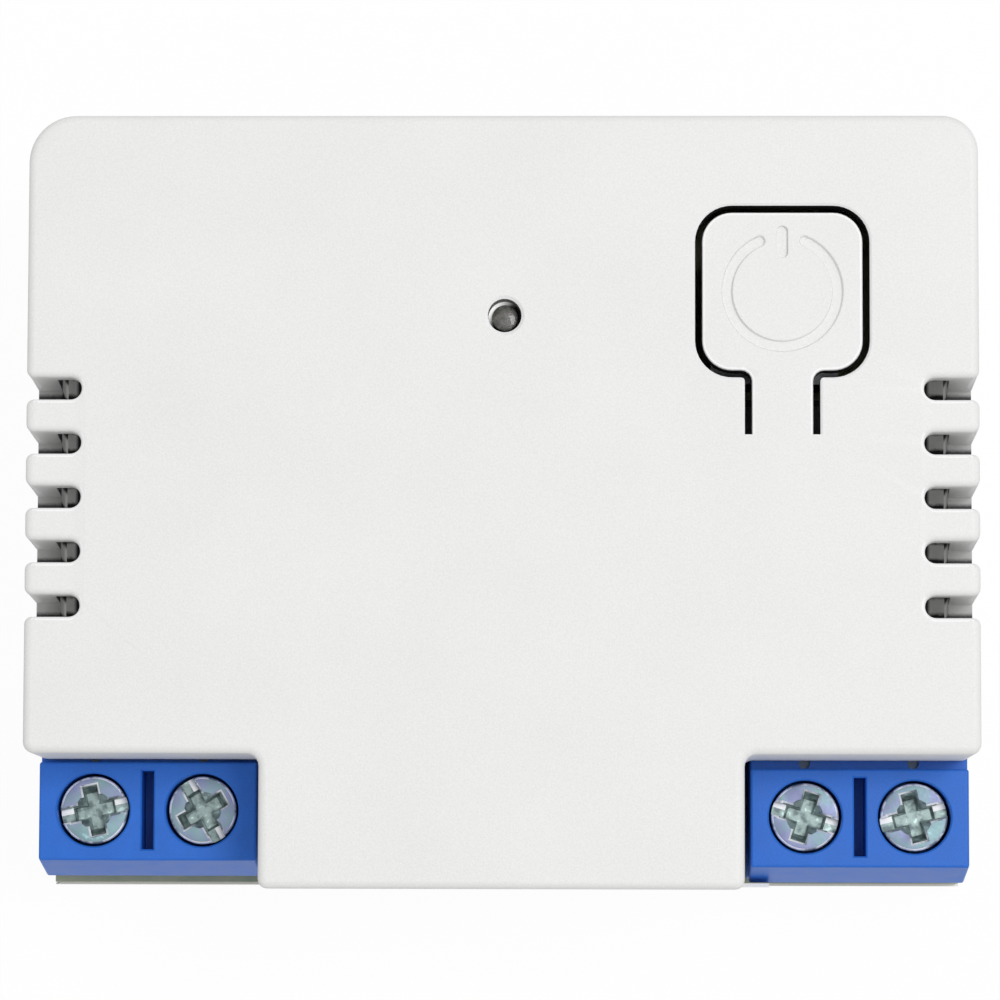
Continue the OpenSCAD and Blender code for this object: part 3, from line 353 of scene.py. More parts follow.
def plainMetal(name, tone, rough=0.3, vary=0.12, scratch=0.08, depth=0.003, stretch=(1, 1, 1), metallic=1.0,
               mottle=0.9, gloss=0.22):
    finish = Finish(name, Metallic=metallic)
    cloud, lines = finish.speckle(mottle, 4), finish.speckle(scratch, 3, 0.6, stretch)
    blend = cloud * 0.55 + lines * 0.45
    finish.set(Base_Color=finish.ramp(blend, (0.28, shade(tone, 1 - vary)), (0.72, shade(tone, 1 + vary))))
    finish.set(Roughness=lines * gloss + (rough - gloss / 2))
    finish.dent(lines, depth)
    return finish.material


whiteSpec = {"tone": linear(235, 235, 234), "dark": 0.92, "light": 1.07, "grain": 0.085, "mottle": 6,
             "depth": 0.005, "rough": 0.52, "gloss": 0.1}


def sparkErodedWhite(name, spec):
    finish = Finish(name)
    fine, cloud = finish.speckle(spec["grain"], 3, 0.6), finish.speckle(spec["mottle"], 2)
    dark, light = (shade(spec["tone"], spec[k]) for k in ("dark", "light"))
    finish.set(Base_Color=finish.ramp(fine * 0.75 + cloud * 0.25, (0.25, dark), (0.75, light)))
    finish.set(Roughness=cloud * spec["gloss"] + (spec["rough"] - spec["gloss"] / 2))
    finish.dent(fine, spec["depth"])
    return finish.material


whitePlastic = sparkErodedWhite("white_plastic", whiteSpec)
# painted highlight on the chamfered edges
rimHighlight = sparkErodedWhite("white_rim_highlight", {**whiteSpec, "tone": linear(253, 253, 252), "depth": 0.001})
# wall of the indicator hole, and the rear rim under the blocks
holeShade = mouldedPlastic("hole_shade", linear(120, 120, 118), rough=0.7)
slitShade = mouldedPlastic("slit_shade", linear(22, 22, 23), rough=0.9)  # deep in the narrow slit
bluePlastic = mouldedPlastic("blue_plastic", linear(38, 106, 204), 0.1, 0.006, 0.1, 0.45, 1.1,
                             Specular_IOR_Level=0.3)
blueShade = mouldedPlastic("blue_shade", linear(118, 136, 160), rough=0.8)  # deep in the blocks' notches
print("finishes of the case are ready")


# front cover

coverSpec = {
    "side": 21.5, "top": 17.5, "low": -17.5, "ledge": -11.45, "tab": 10.9,
    "rim": 2.7, "front": 18.0, "inside": 16.8, "wall": 1.0, "lean": 0.55,
    "cornerLeft": 2.15, "cornerRight": 1.65, "foot": 0.5, "notch": 0.55, "tabFoot": 0.42,
    "frontFillet": 0.38, "rimChamfer": 0.1,
    "taperFrom": 10.6, "taper": 0.3,  # the side walls thicken towards the front
    "root": 0.6,  # how far the guide's tube and the tongue's post reach into the face
    "blockRoom": (11.125, (-12.45, -10.0), 11.3),  # from this x, between these y, up to this z
    "boardRoom": (9.7, (-15.95, -10.0), 4.5),
    "brightFrom": 17.84, "brightRoom": (18.0, 2.9, 14.0),  # painted highlight on edges: above this z, within x and two y
    "litWall": 20.1,  # the inner walls that light from the vents falls on lie outside this x
}
ventSpec = {
    "count": 5, "pitch": 2.46, "middle": 0.1, "high": 1.0, "reach": 2.5, "floor": 12.6,
    "upper": 0.3, "lower": 0.17, "corner": 0.34,
    "brightFrom": 17.75, "brightTilt": -0.25, "brightRoom": (18.6, 7.0),  # painted highlight on the mouths, from x, within y
    "shadowGrowth": 0.975,  # painted shadow along the lower walls
    "pool": 0.75, "lipGlow": 0.16, "wallPool": 0.6, "wallGlow": 0.2,  # light that falls in
    "poolGrowth": 0.965, "lopside": 0.29, "shadowFrom": 19.75,
}
tongueSpec = {
    "x": 12.63, "y": 9.44, "wide": 7.24, "high": 7.18, "corner": 1.35,
    "neck": 2.76, "foot": 2.94, "slit": 0.32, "crotch": 0.18, "post": 0.9, "postLow": 13.87,
    "ring": 2.5, "stroke": 0.5, "engrave": 0.2, "gap": 24, "bar": 1.45, "taper": 0.05, "markRoom": 3.3,
    "edge": 0.13, "line": 0.05, "flare": 0.1, "flareEdge": 0.26,
    "shadeRoom": (4.1, 6.6),  # walls this close to the middle are the slit's
}
lightSpec = {
    "x": 0.1, "y": 8.34, "hole": 0.76, "holeRoom": 0.79, "rim": 0.14,
    "tube": 1.62, "tubeLow": 13.8, "fit": 0.02,
    "guide": 1.0, "guideLow": 5.2, "tip": 0.6, "tipTop": 17.0, "tipEdge": 0.08, "edge": 0.05,
    "shoulder": (16.0, 16.9), "glow": 0.35, "lit": (0.9, 0.5, 0.4),  # slant, steepness and level of its light
}
lugSpec = {"x": (10.2, 12.27), "top": -17.05, "z": (7.5, 9.5), "inset": 0.012}


def ventRise(finish, shift, growth, spec=ventSpec):  # 0 to 1 from one vent's lower wall to the next
    start = spec["middle"] + shift - spec["high"] / 2
    turn = (finish.axis("Y") - start * mm) * (growth / (spec["pitch"] * mm))
    return finish.node("ShaderNodeMath", {"operation": "FRACT"}, {0: turn})


def ventFinish(spec=ventSpec):  # the vents' floors in painted shade, with a painted shadow along their lower wall
    finish = Finish("vent_floor_shade", Roughness=0.6)
    fine = finish.speckle(0.12, 3)
    rise = ventRise(finish, -(spec["count"] // 2) * spec["pitch"], spec["shadowGrowth"])
    finish.set(Base_Color=finish.ramp(
        rise + fine * 0.03, (0.19, linear(40, 40, 40)), (0.26, linear(184, 184, 183)),
        (0.4, linear(196, 196, 195))))
    finish.dent(fine, 0.004)
    return finish.material


def litInside(name, shift, glow, spec=ventSpec):  # inside of the case, with a pool of light behind each vent
    finish = Finish(name, Roughness=0.55, Emission_Strength=glow)
    fine = finish.speckle(0.3, 3)
    rise = ventRise(finish, shift, spec["poolGrowth"])
    grey, dark = linear(200, 200, 198), linear(30, 30, 30)
    plain = finish.ramp(fine, (0.3, linear(214, 214, 212)), (0.7, linear(230, 230, 228)))
    pools = finish.ramp(rise + fine * 0.08, (0.08, 0.0), (0.14, 1.0), (0.35, 1.0), (0.42, 0.0))
    across = finish.axis("X")  # the inner edge of the lip lies in shadow
    reach = finish.node("ShaderNodeMath", {"operation": "MAXIMUM"}, {
        0: across * -1.0, 1: across + spec["lopside"] * mm})
    lit = finish.ramp(reach * (1 / mm) - spec["shadowFrom"], (0.15, 0.0), (0.3, 1.0)) * pools
    finish.set(Base_Color=finish.mix(lit, dark, plain), Emission_Color=finish.mix(lit, dark, grey))
    return finish.material


ventShade = ventFinish()
whiteLip = litInside("white_lip", ventSpec["pool"], ventSpec["lipGlow"])
whiteWall = litInside("white_wall", ventSpec["wallPool"], ventSpec["wallGlow"])


def teePlan(name, side, top, ledge, tab, low, z0, z1):
    piece = addBox(name, (-side, ledge, z0), (side, top, z1))
    for sign in (-1, 1):
        splitAt(piece, (sign * tab, 0, 0), (1, 0, 0))
    pushFaces(piece, (0, low - ledge, 0), lambda f: f.normal.y < -square and abs(centre(f).x) < tab)
    return piece


def leanAt(z, spec=coverSpec):  # the terminal edge at this height
    return spec["low"] + spec["lean"] * (spec["front"] - z) / spec["front"]


def tonguePlan(name, grow, z0, z1, spec=tongueSpec):
    half, x = spec["neck"] / 2 + grow, spec["x"]
    low, high = spec["y"] - spec["high"] / 2 - grow, spec["y"] + spec["high"] / 2 + grow
    left, right = x - spec["wide"] / 2 - grow, x + spec["wide"] / 2 + grow
    piece = addBox(name, (left, low, z0), (right, high, z1))
    for sign in (-1, 1):
        splitAt(piece, (x + sign * half, 0, 0), (1, 0, 0))
    pushFaces(piece, (0, spec["foot"] - low, 0),
              lambda f: f.normal.y < -square and abs(centre(f).x - x) < half)
    roundCorners(piece, spec["corner"] + grow, 10, [(left, low), (left, high), (right, low), (right, high)])
    roundCorners(piece, spec["crotch"] + spec["slit"] - grow, 4, [(x - half, low), (x + half, low)])
    return piece


def ventRows(spec=ventSpec):
    return [spec["middle"] + (i - (spec["count"] - 1) / 2) * spec["pitch"] for i in range(spec["count"])]


def ventCutters(spec=ventSpec, case=coverSpec):
    cutters = []
    for y in ventRows():
        low, high = y - spec["high"] / 2, y + spec["high"] / 2
        for sign in (-1, 1):
            inner, outer = sign * (case["side"] - spec["reach"]), sign * (case["side"] + past)
            cutter = addBox("vent_cutter", (min(inner, outer), low, spec["floor"]),
                            (max(inner, outer), high, case["front"] + past))
            roundCorners(cutter, spec["high"] / 2 - hair, 7, [(inner, low), (inner, high)])
            cutters.append(cutter)
    return cutters


def onBrim(edge, level):  # an outer edge of the flat face at this level
    flat = [abs(face.normal.z) > square for face in edge.link_faces]
    return all(abs(v.co.z - level) < near for v in edge.verts) and sorted(flat) == [False, True]


def frontEdges(at, edge, spec=coverSpec, vent=ventSpec):  # a wide fillet, narrower along the vents' mouths
    if not onBrim(edge, spec["front"]):
        return 0
    row = min(ventRows(), key=lambda y: abs(y - at.y))
    if abs(at.x) < spec["side"] - vent["reach"] - near or abs(at.y - row) > vent["high"] / 2 + vent["corner"]:
        return spec["frontFillet"]
    share = min(1, max(0, 0.5 + (at.y - row) / vent["high"]))
    inside = min(1, max(0, (spec["side"] - abs(at.x)) / vent["corner"]))
    width = vent["lower"] + share * (vent["upper"] - vent["lower"])
    return width * inside + spec["frontFillet"] * (1 - inside)


def openingCutters(spec=tongueSpec, case=coverSpec):
    low = case["front"] - spec["edge"]
    opening = tonguePlan("tongue_opening", spec["slit"], case["inside"] - past, case["front"] + past)
    mouth = tonguePlan("tongue_mouth", spec["slit"] + spec["edge"] + spec["flare"], low, case["front"] + past)
    roundEdges(mouth, spec["flareEdge"], 1, lambda e: onBrim(e, low) and centre(e).y > spec["foot"] + near)
    return [opening, mouth]


def makeShell(spec=coverSpec, vent=ventSpec):  # outside of the front cover
    side, top, low, ledge, tab = (spec[k] for k in ("side", "top", "low", "ledge", "tab"))
    cover = teePlan("case_front", side, top, ledge, tab, low, spec["rim"], spec["front"])
    moveVerts(cover, (0, leanAt(spec["rim"]) - low, 0),
              lambda v: v.co.y < low + near and v.co.z < spec["rim"] + near)
    mergeFlat(cover)
    for width, steps, places in (
            (spec["cornerLeft"], 12, [(-side, top)]), (spec["cornerRight"], 12, [(side, top)]),
            (spec["foot"], 5, [(-side, ledge), (side, ledge)]),
            (spec["notch"], 5, [(-tab, ledge), (tab, ledge)]),
            (spec["tabFoot"], 4, [(-tab, low), (tab, low)])):
        roundCorners(cover, width, steps, places)
    combine(cover, ventCutters())
    tidyMesh(cover)
    half = vent["high"] / 2
    roundCorners(cover, vent["corner"], 4, [
        (x, y + step) for x in (-side, side) for y in ventRows() for step in (-half, half)])
    softenEdges(cover, frontEdges, spec["frontFillet"], 5)
    roundEdges(cover, spec["rimChamfer"], 1, lambda e: onBrim(e, spec["rim"]))
    return cover


def makeCavity(spec=coverSpec):
    side, wall = spec["side"], spec["wall"]
    inner = teePlan("cavity", side - wall, spec["top"] - wall, spec["ledge"] + wall, spec["tab"] - wall,
                    spec["low"] + wall + spec["lean"], spec["rim"] - past, spec["inside"])
    splitAt(inner, (0, 0, spec["taperFrom"]), (0, 0, 1))
    for sign in (-1, 1):
        moveVerts(inner, (-sign * spec["taper"], 0, 0),
                  lambda v: v.co.x * sign > side - wall - near and v.co.z > spec["inside"] - near)
    return inner


def makeLug(spec=lugSpec):
    (left, right), (low, high) = spec["x"], spec["z"]
    lug = addBox("lug", (left, leanAt(low) + spec["inset"], low), (right, spec["top"], high))
    moveVerts(lug, (0, leanAt(high) - leanAt(low), 0),
              lambda v: v.co.y < spec["top"] - near and v.co.z > high - near)
    return lug


def paintCover(cover, spec=coverSpec, vent=ventSpec, light=lightSpec, tongue=tongueSpec):
    hole = Vector((light["x"], light["y"]))
    shadeX, shadeY = tongue["shadeRoom"]
    brightX, brightLow, brightHigh = spec["brightRoom"]
    mouthX, mouthY = vent["brightRoom"]
    paintFaces(cover, (
        (1, lambda at, normal: isWall(normal) and spec["inside"] < at.z < spec["front"] - tongue["edge"]
         and abs(at.x - tongue["x"]) < shadeX and abs(at.y - tongue["y"]) < shadeY),
        # painted highlight on the chamfers round the tongue's opening and the light hole
        (2, lambda at, normal: isChamfer(normal) and at.z > spec["brightFrom"]
         and abs(at.x) < brightX and brightLow < at.y < brightHigh),
        # painted highlight on the vents' mouths
        (2, lambda at, normal: isChamfer(normal) and normal.y > vent["brightTilt"] and at.z > vent["brightFrom"]
         and mouthX < abs(at.x) < spec["side"] - vent["corner"] and abs(at.y) < mouthY),
        # painted shade on the vents' floors, with a painted shadow along their lower walls
        (3, lambda at, normal: normal.z > square and abs(at.z - vent["floor"]) < near),
        (5, lambda at, normal: abs(normal.x) > square and normal.x * at.x < 0
         and abs(at.x) > spec["litWall"] and at.z < vent["floor"]),
        (4, lambda at, normal: isWall(normal) and at.z > spec["inside"]
         and (at.xy - hole).length < light["holeRoom"])))


def makeFrontCover(spec=coverSpec, light=lightSpec):
    place = light["x"], light["y"]
    cover = makeShell()
    combine(cover, [makeCavity()])
    tube = addRod("guide_tube", place, light["tubeLow"], spec["inside"] + spec["root"], light["tube"])
    combine(cover, [tube, makeLug()], "UNION")
    rooms = []
    for sign in (-1, 1):
        for inner, (low, high), ceiling in (spec["blockRoom"], spec["boardRoom"]):
            left, right = sorted((sign * inner, sign * (spec["side"] + past)))
            rooms.append(addBox("room", (left, low, spec["rim"] - past), (right, high, ceiling)))
    hole, mouth = flaredRod(place, spec["inside"] - past, spec["front"], light["hole"], light["rim"], 56)
    seat = addRod("guide_seat", place, light["tubeLow"] - past, spec["inside"], light["guide"] + light["fit"])
    combine(cover, rooms + openingCutters() + [hole, seat, mouth])
    tidyMesh(cover, True)
    finishPiece(cover, "housing", "front_cover",
                [whitePlastic, slitShade, rimHighlight, ventShade, holeShade, whiteWall])
    paintCover(cover)
    return cover


frontCover = makeFrontCover()
print("front cover is ready", len(frontCover.data.polygons), "faces")


# push tongue with its engraved power mark

def makeMark(spec=tongueSpec, case=coverSpec):  # cutters of the ring and of the bar in its gap
    x, y, radius, half, taper = spec["x"], spec["y"], spec["ring"], spec["stroke"] / 2, spec["taper"]
    floor, above = case["front"] - spec["engrave"], case["front"] + over
    ring = addRod("ring", (x, y), floor, above, radius + half - taper, radius + half + taper, 96)
    core = addRod("ring_core", (x, y), floor - spare, above + spare,
                  radius - half + taper, radius - half - taper, 96)
    wedge = addBox("ring_gap", (x - hair / 2, y, floor - spare), (x + hair / 2, y + 2 * radius, above + spare))
    angle = math.radians(spec["gap"])
    for sign in (-1, 1):
        moveVerts(wedge, (sign * 2 * radius * math.tan(angle), 0, 0),
                  lambda v: v.co.y > y + near and (v.co.x - x) * sign > 0)
    combine(ring, [core, wedge])
    ends = [addRod("ring_end", (x + sign * radius * math.sin(angle), y + radius * math.cos(angle)),
                   floor, above, half - taper, half + taper, 24) for sign in (-1, 1)]
    combine(ring, ends, "UNION")
    tidyMesh(ring, join=0.03)
    middle, reach = y + radius - half, spec["bar"] / 2
    bar = addBox("bar", (x - half, middle - reach, floor), (x + half, middle + reach, above))
    roundCorners(bar, half - hair, 6, [(x + a * half, middle + b * reach) for a in (-1, 1) for b in (-1, 1)])
    return [ring, bar]


def makeTongue(spec=tongueSpec, case=coverSpec):
    tongue = tonguePlan("push_tongue", 0, case["inside"], case["front"])
    place = Vector((spec["x"], spec["y"]))
    mark = makeMark()
    post = addRod("post", place, spec["postLow"], case["inside"] + case["root"], spec["post"], None, 32)
    combine(tongue, [post], "UNION")
    combine(tongue, mark)
    tidyMesh(tongue)

    def marked(at):  # within the engraved mark
        return (at.xy - place).length < spec["markRoom"]

    def edges(at, edge):
        if at.z < case["front"] - near or at.y < spec["foot"] + near:
            return 0
        return spec["line"] if marked(at) else spec["edge"]

    softenEdges(tongue, edges, spec["edge"], 2)
    tidyMesh(tongue, join=0.025)
    finishPiece(tongue, "button", "button_tongue", [whitePlastic, slitShade, rimHighlight])
    paintFaces(tongue, (
        (1, lambda at, normal: isWall(normal) and case["inside"] < at.z < case["front"] - spec["edge"]
         and at.y > spec["foot"] + near and not marked(at)),
        # painted highlight on the tongue's chamfered edges
        (2, lambda at, normal: isChamfer(normal) and at.z > case["brightFrom"] and not marked(at))))
    return tongue


pushTongue = makeTongue()
print("push tongue is ready", len(pushTongue.data.polygons), "faces")


# terminal blocks

blockSpec = {
    "poles": ((-18.85, -13.85), (13.85, 18.85)), "poleY": (-13.8, -14.05), "half": 5.0,
    "low": 4.3, "top": 12.0, "hood": 8.2, "hoodY": -2.95, "faceY": -2.3, "entryY": -2.7,
    "shoulderY": 2.2, "shoulder": 11.1, "back": 3.5, "well": 1.68, "wellFloor": 9.1,
    "shank": 1.35, "cageTop": 8.9, "cageX": 1.95, "cageY": 1.8, "bore": 1.1, "boreZ": 6.4,
    "nick": 0.27, "nickRise": 0.3, "nickDeep": 0.25, "shadeTop": 11.8,
    "slit": (0.55, 3.6, 2.4), "edge": 0.12, "edgeAngle": 0.15, "rim": 0.07,
}


def makeBlock(name, node, number, spec=blockSpec):
    poles, y, top = spec["poles"][number], spec["poleY"][number], spec["top"]
    middle, half, reach = sum(poles) / 2, spec["half"], spec["half"] + past
    nickY, nickLow = y + spec["shoulderY"] + spec["nickRise"], spec["shoulder"] - spec["nickDeep"]
    block = addBox(name, (middle - half, y + spec["hoodY"], spec["low"]),
                   (middle + half, y + spec["back"], top))
    splitAt(block, (0, 0, spec["hood"]), (0, 0, 1))
    moveVerts(block, (0, spec["faceY"] - spec["hoodY"], 0),
              lambda v: v.co.z > top - near and v.co.y < y + spec["hoodY"] + near)
    combine(block, [
        addBox("entry", (middle - reach, y - half, spec["low"] - past),
               (middle + reach, y + spec["entryY"], spec["hood"])),
        addBox("shoulder", (middle - reach, y + spec["shoulderY"], spec["shoulder"]),
               (middle + reach, y + half, top + past))])
    roundEdges(block, spec["edge"], 3, lambda e: e.is_convex and e.calc_face_angle(0) > spec["edgeAngle"]
               and centre(e).z > spec["low"] + near)
    wide, length, deep = spec["slit"]
    cutters = [flaredBox((middle - wide / 2, y - length / 2, top - deep),
                         (middle + wide / 2, y + length / 2, top), spec["rim"])]
    for x in poles:
        cutters += flaredRod((x, y), spec["wellFloor"], top, spec["well"], spec["rim"], 64)
        cutters += [
            addRod("shank_hole", (x, y), spec["cageTop"] - past, top, spec["shank"], None, 32),
            addRod("nick", (x, nickY), nickLow, top + past, spec["nick"], None, 20),
            addBox("cage_room", (x - spec["cageX"], y - spec["cageY"], spec["low"] - past),
                   (x + spec["cageX"], y + spec["cageY"], spec["cageTop"]))]
        for bore in flaredRod((0, 0), 0, -spec["entryY"], spec["bore"], spec["rim"], 40):
            cutters.append(turned(bore, math.radians(90), "X", (x, y, spec["boreZ"])))
    combine(block, cutters)
    tidyMesh(block, True)
    finishPiece(block, "housing", node, [bluePlastic, blueShade])
    for x in poles:
        paintFaces(block, [(1, lambda at, normal: nickLow - near < at.z < spec["shadeTop"]
                            and (at.xy - Vector((x, nickY))).length < spec["nick"] + near)])


makeBlock("block_left", "left_terminal_block", 0)
makeBlock("block_right", "right_terminal_block", 1)
print("terminal blocks are ready")


# terminal screws

screwSpec = {
    "head": 1.55, "low": 10.4, "top": 11.6, "shank": 1.2, "shankLow": 7.9, "pivot": 0.5, "pivotLow": 7.5,
    "join": 0.3,  # shank, pivot and head reach this far into each other
    "slot": (0.62, 0.5), "cross": (2.3, 0.7, 0.8), "taper": 0.72, "pit": (0.1, 0.95), "pitRise": 0.02,
    "edge": 0.08, "brim": 0.1, "turns": (12, -60, -17, 14),
    "recessShadeLow": 10.5, "recessShadeRoom": 1.25,  # painted shade in the recess, from this height and within this radius
    "slotRoom": (0.36, 0.52), "bright": 0.05, "brightTop": 11.3, "brightFrom": 1.05,  # slot, and one half of its wall with a painted highlight, partly wear
    "burr": 0.013, "burrFrom": 11.3, "burrCross": 1.27, "burrSlot": (1.05, 0.5),  # which edges are burred
}


def platedZinc(name, lilac, teal, rough, patch, metallic, fleck, gloss=0.2):  # lilac in places and teal in others, with painted glints in the brightest flecks
    finish = Finish(name, Metallic=metallic)
    cloud, fine = finish.speckle(patch, 2), finish.speckle(0.14, 3, 0.6)
    # the brightest stop, from fleck on, is painted glints
    tone = finish.ramp(cloud * 0.85 + fine * 0.15, (0.4, lilac), (fleck - 0.06, teal), (fleck, teal),
                       (fleck + 0.05, shade(teal, 1.75)))
    finish.set(Base_Color=tone, Roughness=fine * gloss + (rough - gloss / 2))
    finish.dent(fine, 0.006)
    return finish.material


def wornHighlitEdges():  # worn, with a painted highlight: bright in places and dull in others
    finish = Finish("zinc_edge_highlight", Metallic=0.2)
    patch, fine = finish.speckle(0.7, 2), finish.speckle(0.14, 3)
    finish.set(Base_Color=finish.ramp(patch * 0.8 + fine * 0.2, (0.42, linear(128, 138, 148)),
                                      (0.52, linear(226, 228, 232)), (0.6, linear(252, 252, 254))))
    finish.set(Roughness=fine * 0.2 + 0.4)
    finish.dent(fine, 0.004)
    return finish.material


zincCoat = platedZinc("zinc_coat", linear(132, 137, 170), linear(126, 153, 158), 0.5, 1.3, 0.75, 0.65)
# painted shade: darker zinc for the recess and the slot's ends
zincRecessShade = platedZinc("zinc_recess_shade", linear(98, 113, 114), linear(148, 166, 164), 0.45, 0.45, 0.6, 0.6)
# bare worn metal with a painted highlight, on one half of the slot's wall
zincWornHighlight = plainMetal("zinc_worn_highlight", linear(250, 250, 252), 0.5, 0.04, 0.1, 0.004, metallic=0.15)
zincEdgeHighlight = wornHighlitEdges()


def makeScrewBlank(spec=screwSpec):
    top, rim, join = spec["top"], spec["edge"], spec["join"]
    blank = addRod("screw_blank", (0, 0), spec["low"], top, spec["head"], None, 64)
    roundEdges(blank, spec["brim"], 3, lambda e: centre(e).z > top - near)
    wide, deep = spec["slot"]
    length, arm, sink = spec["cross"]
    slot = flaredBox((-2 * spec["head"], -wide / 2, top - deep), (2 * spec["head"], wide / 2, top), rim)
    arms = [flaredBox((-a / 2, -b / 2, top - sink), (a / 2, b / 2, top), rim, spec["taper"])
            for a, b in ((length, arm), (arm, length))]
    pit = addRod("pit", (0, 0), top - sink + spec["pitRise"], top + spare, *spec["pit"], 20)
    shank = addRod("shank", (0, 0), spec["shankLow"], spec["low"] + join, spec["shank"], None, 40)
    pivot = addRod("pivot", (0, 0), spec["pivotLow"], spec["shankLow"] + join, spec["pivot"], None, 24)
    combine(blank, [slot] + arms + [pit])
    combine(blank, [shank, pivot], "UNION")
    splitAt(blank, (0, spec["bright"], 0), (0, 1, 0))
    tidyMesh(blank, True)
    return blank


def makeScrew(blank, number, spec=screwSpec):
    name = "screw_%d" % number
    side, pole = divmod(number - 1, 2)
    screw = blank.copy()
    screw.data = blank.data.copy()
    screw.name = name
    bpy.context.scene.collection.objects.link(screw)
    brink, reach = spec["top"] - spec["edge"] - near / 2, spec["cross"][0] / 2
    slotHalf, slotLow = spec["slotRoom"][0], spec["top"] - spec["slotRoom"][1]
    paintFaces(screw, (
        # painted shade in the recess and at the slot's ends
        (1, lambda at, normal: spec["recessShadeLow"] < at.z < brink and at.xy.length < spec["recessShadeRoom"]),
        (1, lambda at, normal: at.z > slotLow and abs(at.y) < slotHalf and abs(at.x) > reach + 2 * near),
        # painted highlight, partly wear, on one half of the slot's wall
        (2, lambda at, normal: slotLow < at.z < spec["brightTop"] and spec["bright"] < at.y < slotHalf
         and abs(at.x) > spec["brightFrom"]),
        # worn chamfers with a painted highlight
        (3, lambda at, normal: at.z > brink and isChamfer(normal))), unit=1)
    burrX, burrY = spec["burrSlot"]
    pick(screw, "VERT", lambda v: v.co.z > spec["burrFrom"] and (
        v.co.xy.length < spec["burrCross"] or abs(v.co.x) > burrX and abs(v.co.y) < burrY))
    bpy.ops.transform.vertex_random(offset=spec["burr"], seed=number)
    leave()
    place = blockSpec["poles"][side][pole], blockSpec["poleY"][side], 0
    turned(screw, math.radians(spec["turns"][number - 1]), "Z", place)
    finishPiece(screw, name, "terminal_screw_%d" % number,
                [zincCoat, zincRecessShade, zincWornHighlight, zincEdgeHighlight])


screwBlank = makeScrewBlank()
for number in (1, 2, 3, 4):
    makeScrew(screwBlank, number)
bpy.data.objects.remove(screwBlank, do_unlink=True)
print("terminal screws are ready")


# light guide

def smokyGuide():
    finish = Finish("smoky_guide", Roughness=0.3, Coat_Weight=0.4)
    spots = finish.speckle(0.22, 4, 0.65)
    finish.set(Base_Color=finish.ramp(spots, (0.3, linear(66, 66, 64)), (0.5, linear(96, 96, 91)),
                                      (0.66, linear(118, 112, 108)), (0.78, linear(164, 156, 154))))
    finish.dent(spots, 0.03)
    return finish.material


def guideShoulder(spec=lightSpec):  # clear ring around the tip, bright on its lit side
    finish = Finish("guide_shoulder", Roughness=0.35, Emission_Strength=spec["glow"])
    slant, steep, level = spec["lit"]
    lean = (finish.axis("Y") - spec["y"] * mm) - (finish.axis("X") - spec["x"] * mm) * slant
    lit = lean * (steep / mm) + level
    flecks = finish.speckle(0.2, 3)
    finish.set(Base_Color=finish.ramp(lit + flecks * 0.12, (0.5, linear(6, 6, 6)),
                                      (0.62, linear(150, 150, 148)), (0.85, linear(250, 250, 248))))
    finish.set(Emission_Color=finish.ramp(lit, (0.55, 0.0), (0.85, 1.0)))
    return finish.material


def makeGuide(spec=lightSpec, case=coverSpec):
    place, (low, high) = (spec["x"], spec["y"]), spec["shoulder"]
    guide = addRod("light_pipe", place, spec["guideLow"], case["inside"], spec["guide"], None, 48)
    tip = addRod("tip", place, case["inside"] - past, spec["tipTop"], spec["tip"], None, 40)
    combine(guide, [tip], "UNION")
    tidyMesh(guide)
    softenEdges(guide, lambda at, edge: spec["tipEdge"] if at.z > case["inside"] - near else spec["edge"],
                spec["tipEdge"], 2)
    finishPiece(guide, "housing", "light_guide", [smokyGuide(), guideShoulder()])
    paintFaces(guide, [(1, lambda at, normal: low < at.z < high)])


makeGuide()
print("light guide is ready")


# rear cover, from its solid with softened edges

rearSpec = {"edge": 0.35, "seam": 0.1, "seamZ": 2.7, "seamX": 20.6, "seamY": 16.6, "lip": 10.0}


def makeRearCover(spec=rearSpec, case=coverSpec):
    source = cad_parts["rear_cover"]
    shell = source.copy()
    shell.data = source.data.copy()
    shell.name = "case_rear"
    shell.parent = None
    for key in list(shell.keys()):
        del shell[key]
    bpy.context.scene.collection.objects.link(shell)
    activate(shell)
    shell.scale = (1 / mm, 1 / mm, 1 / mm)
    bpy.ops.object.transform_apply(location=True, rotation=True, scale=True)
    tidyMesh(shell)
    mergeFlat(shell)

    def edges(at, edge):
        if at.z < near:
            return spec["edge"]
        meets = at.y > case["ledge"] and (abs(at.x) > spec["seamX"] or at.y > spec["seamY"])
        return spec["seam"] if meets and abs(at.z - spec["seamZ"]) < near else 0

    softenEdges(shell, edges, spec["edge"], 3)
    finishPiece(shell, "housing", "rear_cover", [whitePlastic, whiteLip, holeShade])
    paintFaces(shell, (
        (1, lambda at, normal: normal.z > square and abs(at.z - spec["lip"]) < near),
        (2, lambda at, normal: normal.z > square and abs(at.z - spec["seamZ"]) < near
         and at.y < case["ledge"] and abs(at.x) > case["tab"])))


makeRearCover()
print("rear cover is ready")


# finishes of the pieces inside

boardSpec = {"low": 2.7, "top": 4.3, "weave": 2600.0}
sleeveSpec = {"top": 13.2, "shine": 0.2}  # the bare can shows above the sleeve
wavePeriod = 0.314  # length of one band of a wave texture at a scale of 1


def laminate(spec=boardSpec):
    finish = Finish("board_laminate", Roughness=0.45)
    fine, cloud = finish.speckle(0.2, 3), finish.speckle(1.4, 3)
    weave = finish.node("ShaderNodeTexWave", {"wave_type": "BANDS", "bands_direction": "Z"}, {
        "Vector": finish.place, "Scale": spec["weave"], "Distortion": 3.0})
    height = finish.axis("Z")
    face = (height > (spec["top"] - near) * mm) + (height < (spec["low"] + near) * mm)
    mask = finish.ramp(cloud, (0.35, linear(146, 156, 128)), (0.7, linear(176, 176, 146)))
    edge = finish.mix(weave * 0.35 + fine * 0.5, linear(104, 114, 92), linear(146, 142, 110))
    finish.set(Base_Color=finish.mix(face, edge, mask))
    finish.dent(fine, 0.01)
    return finish.material


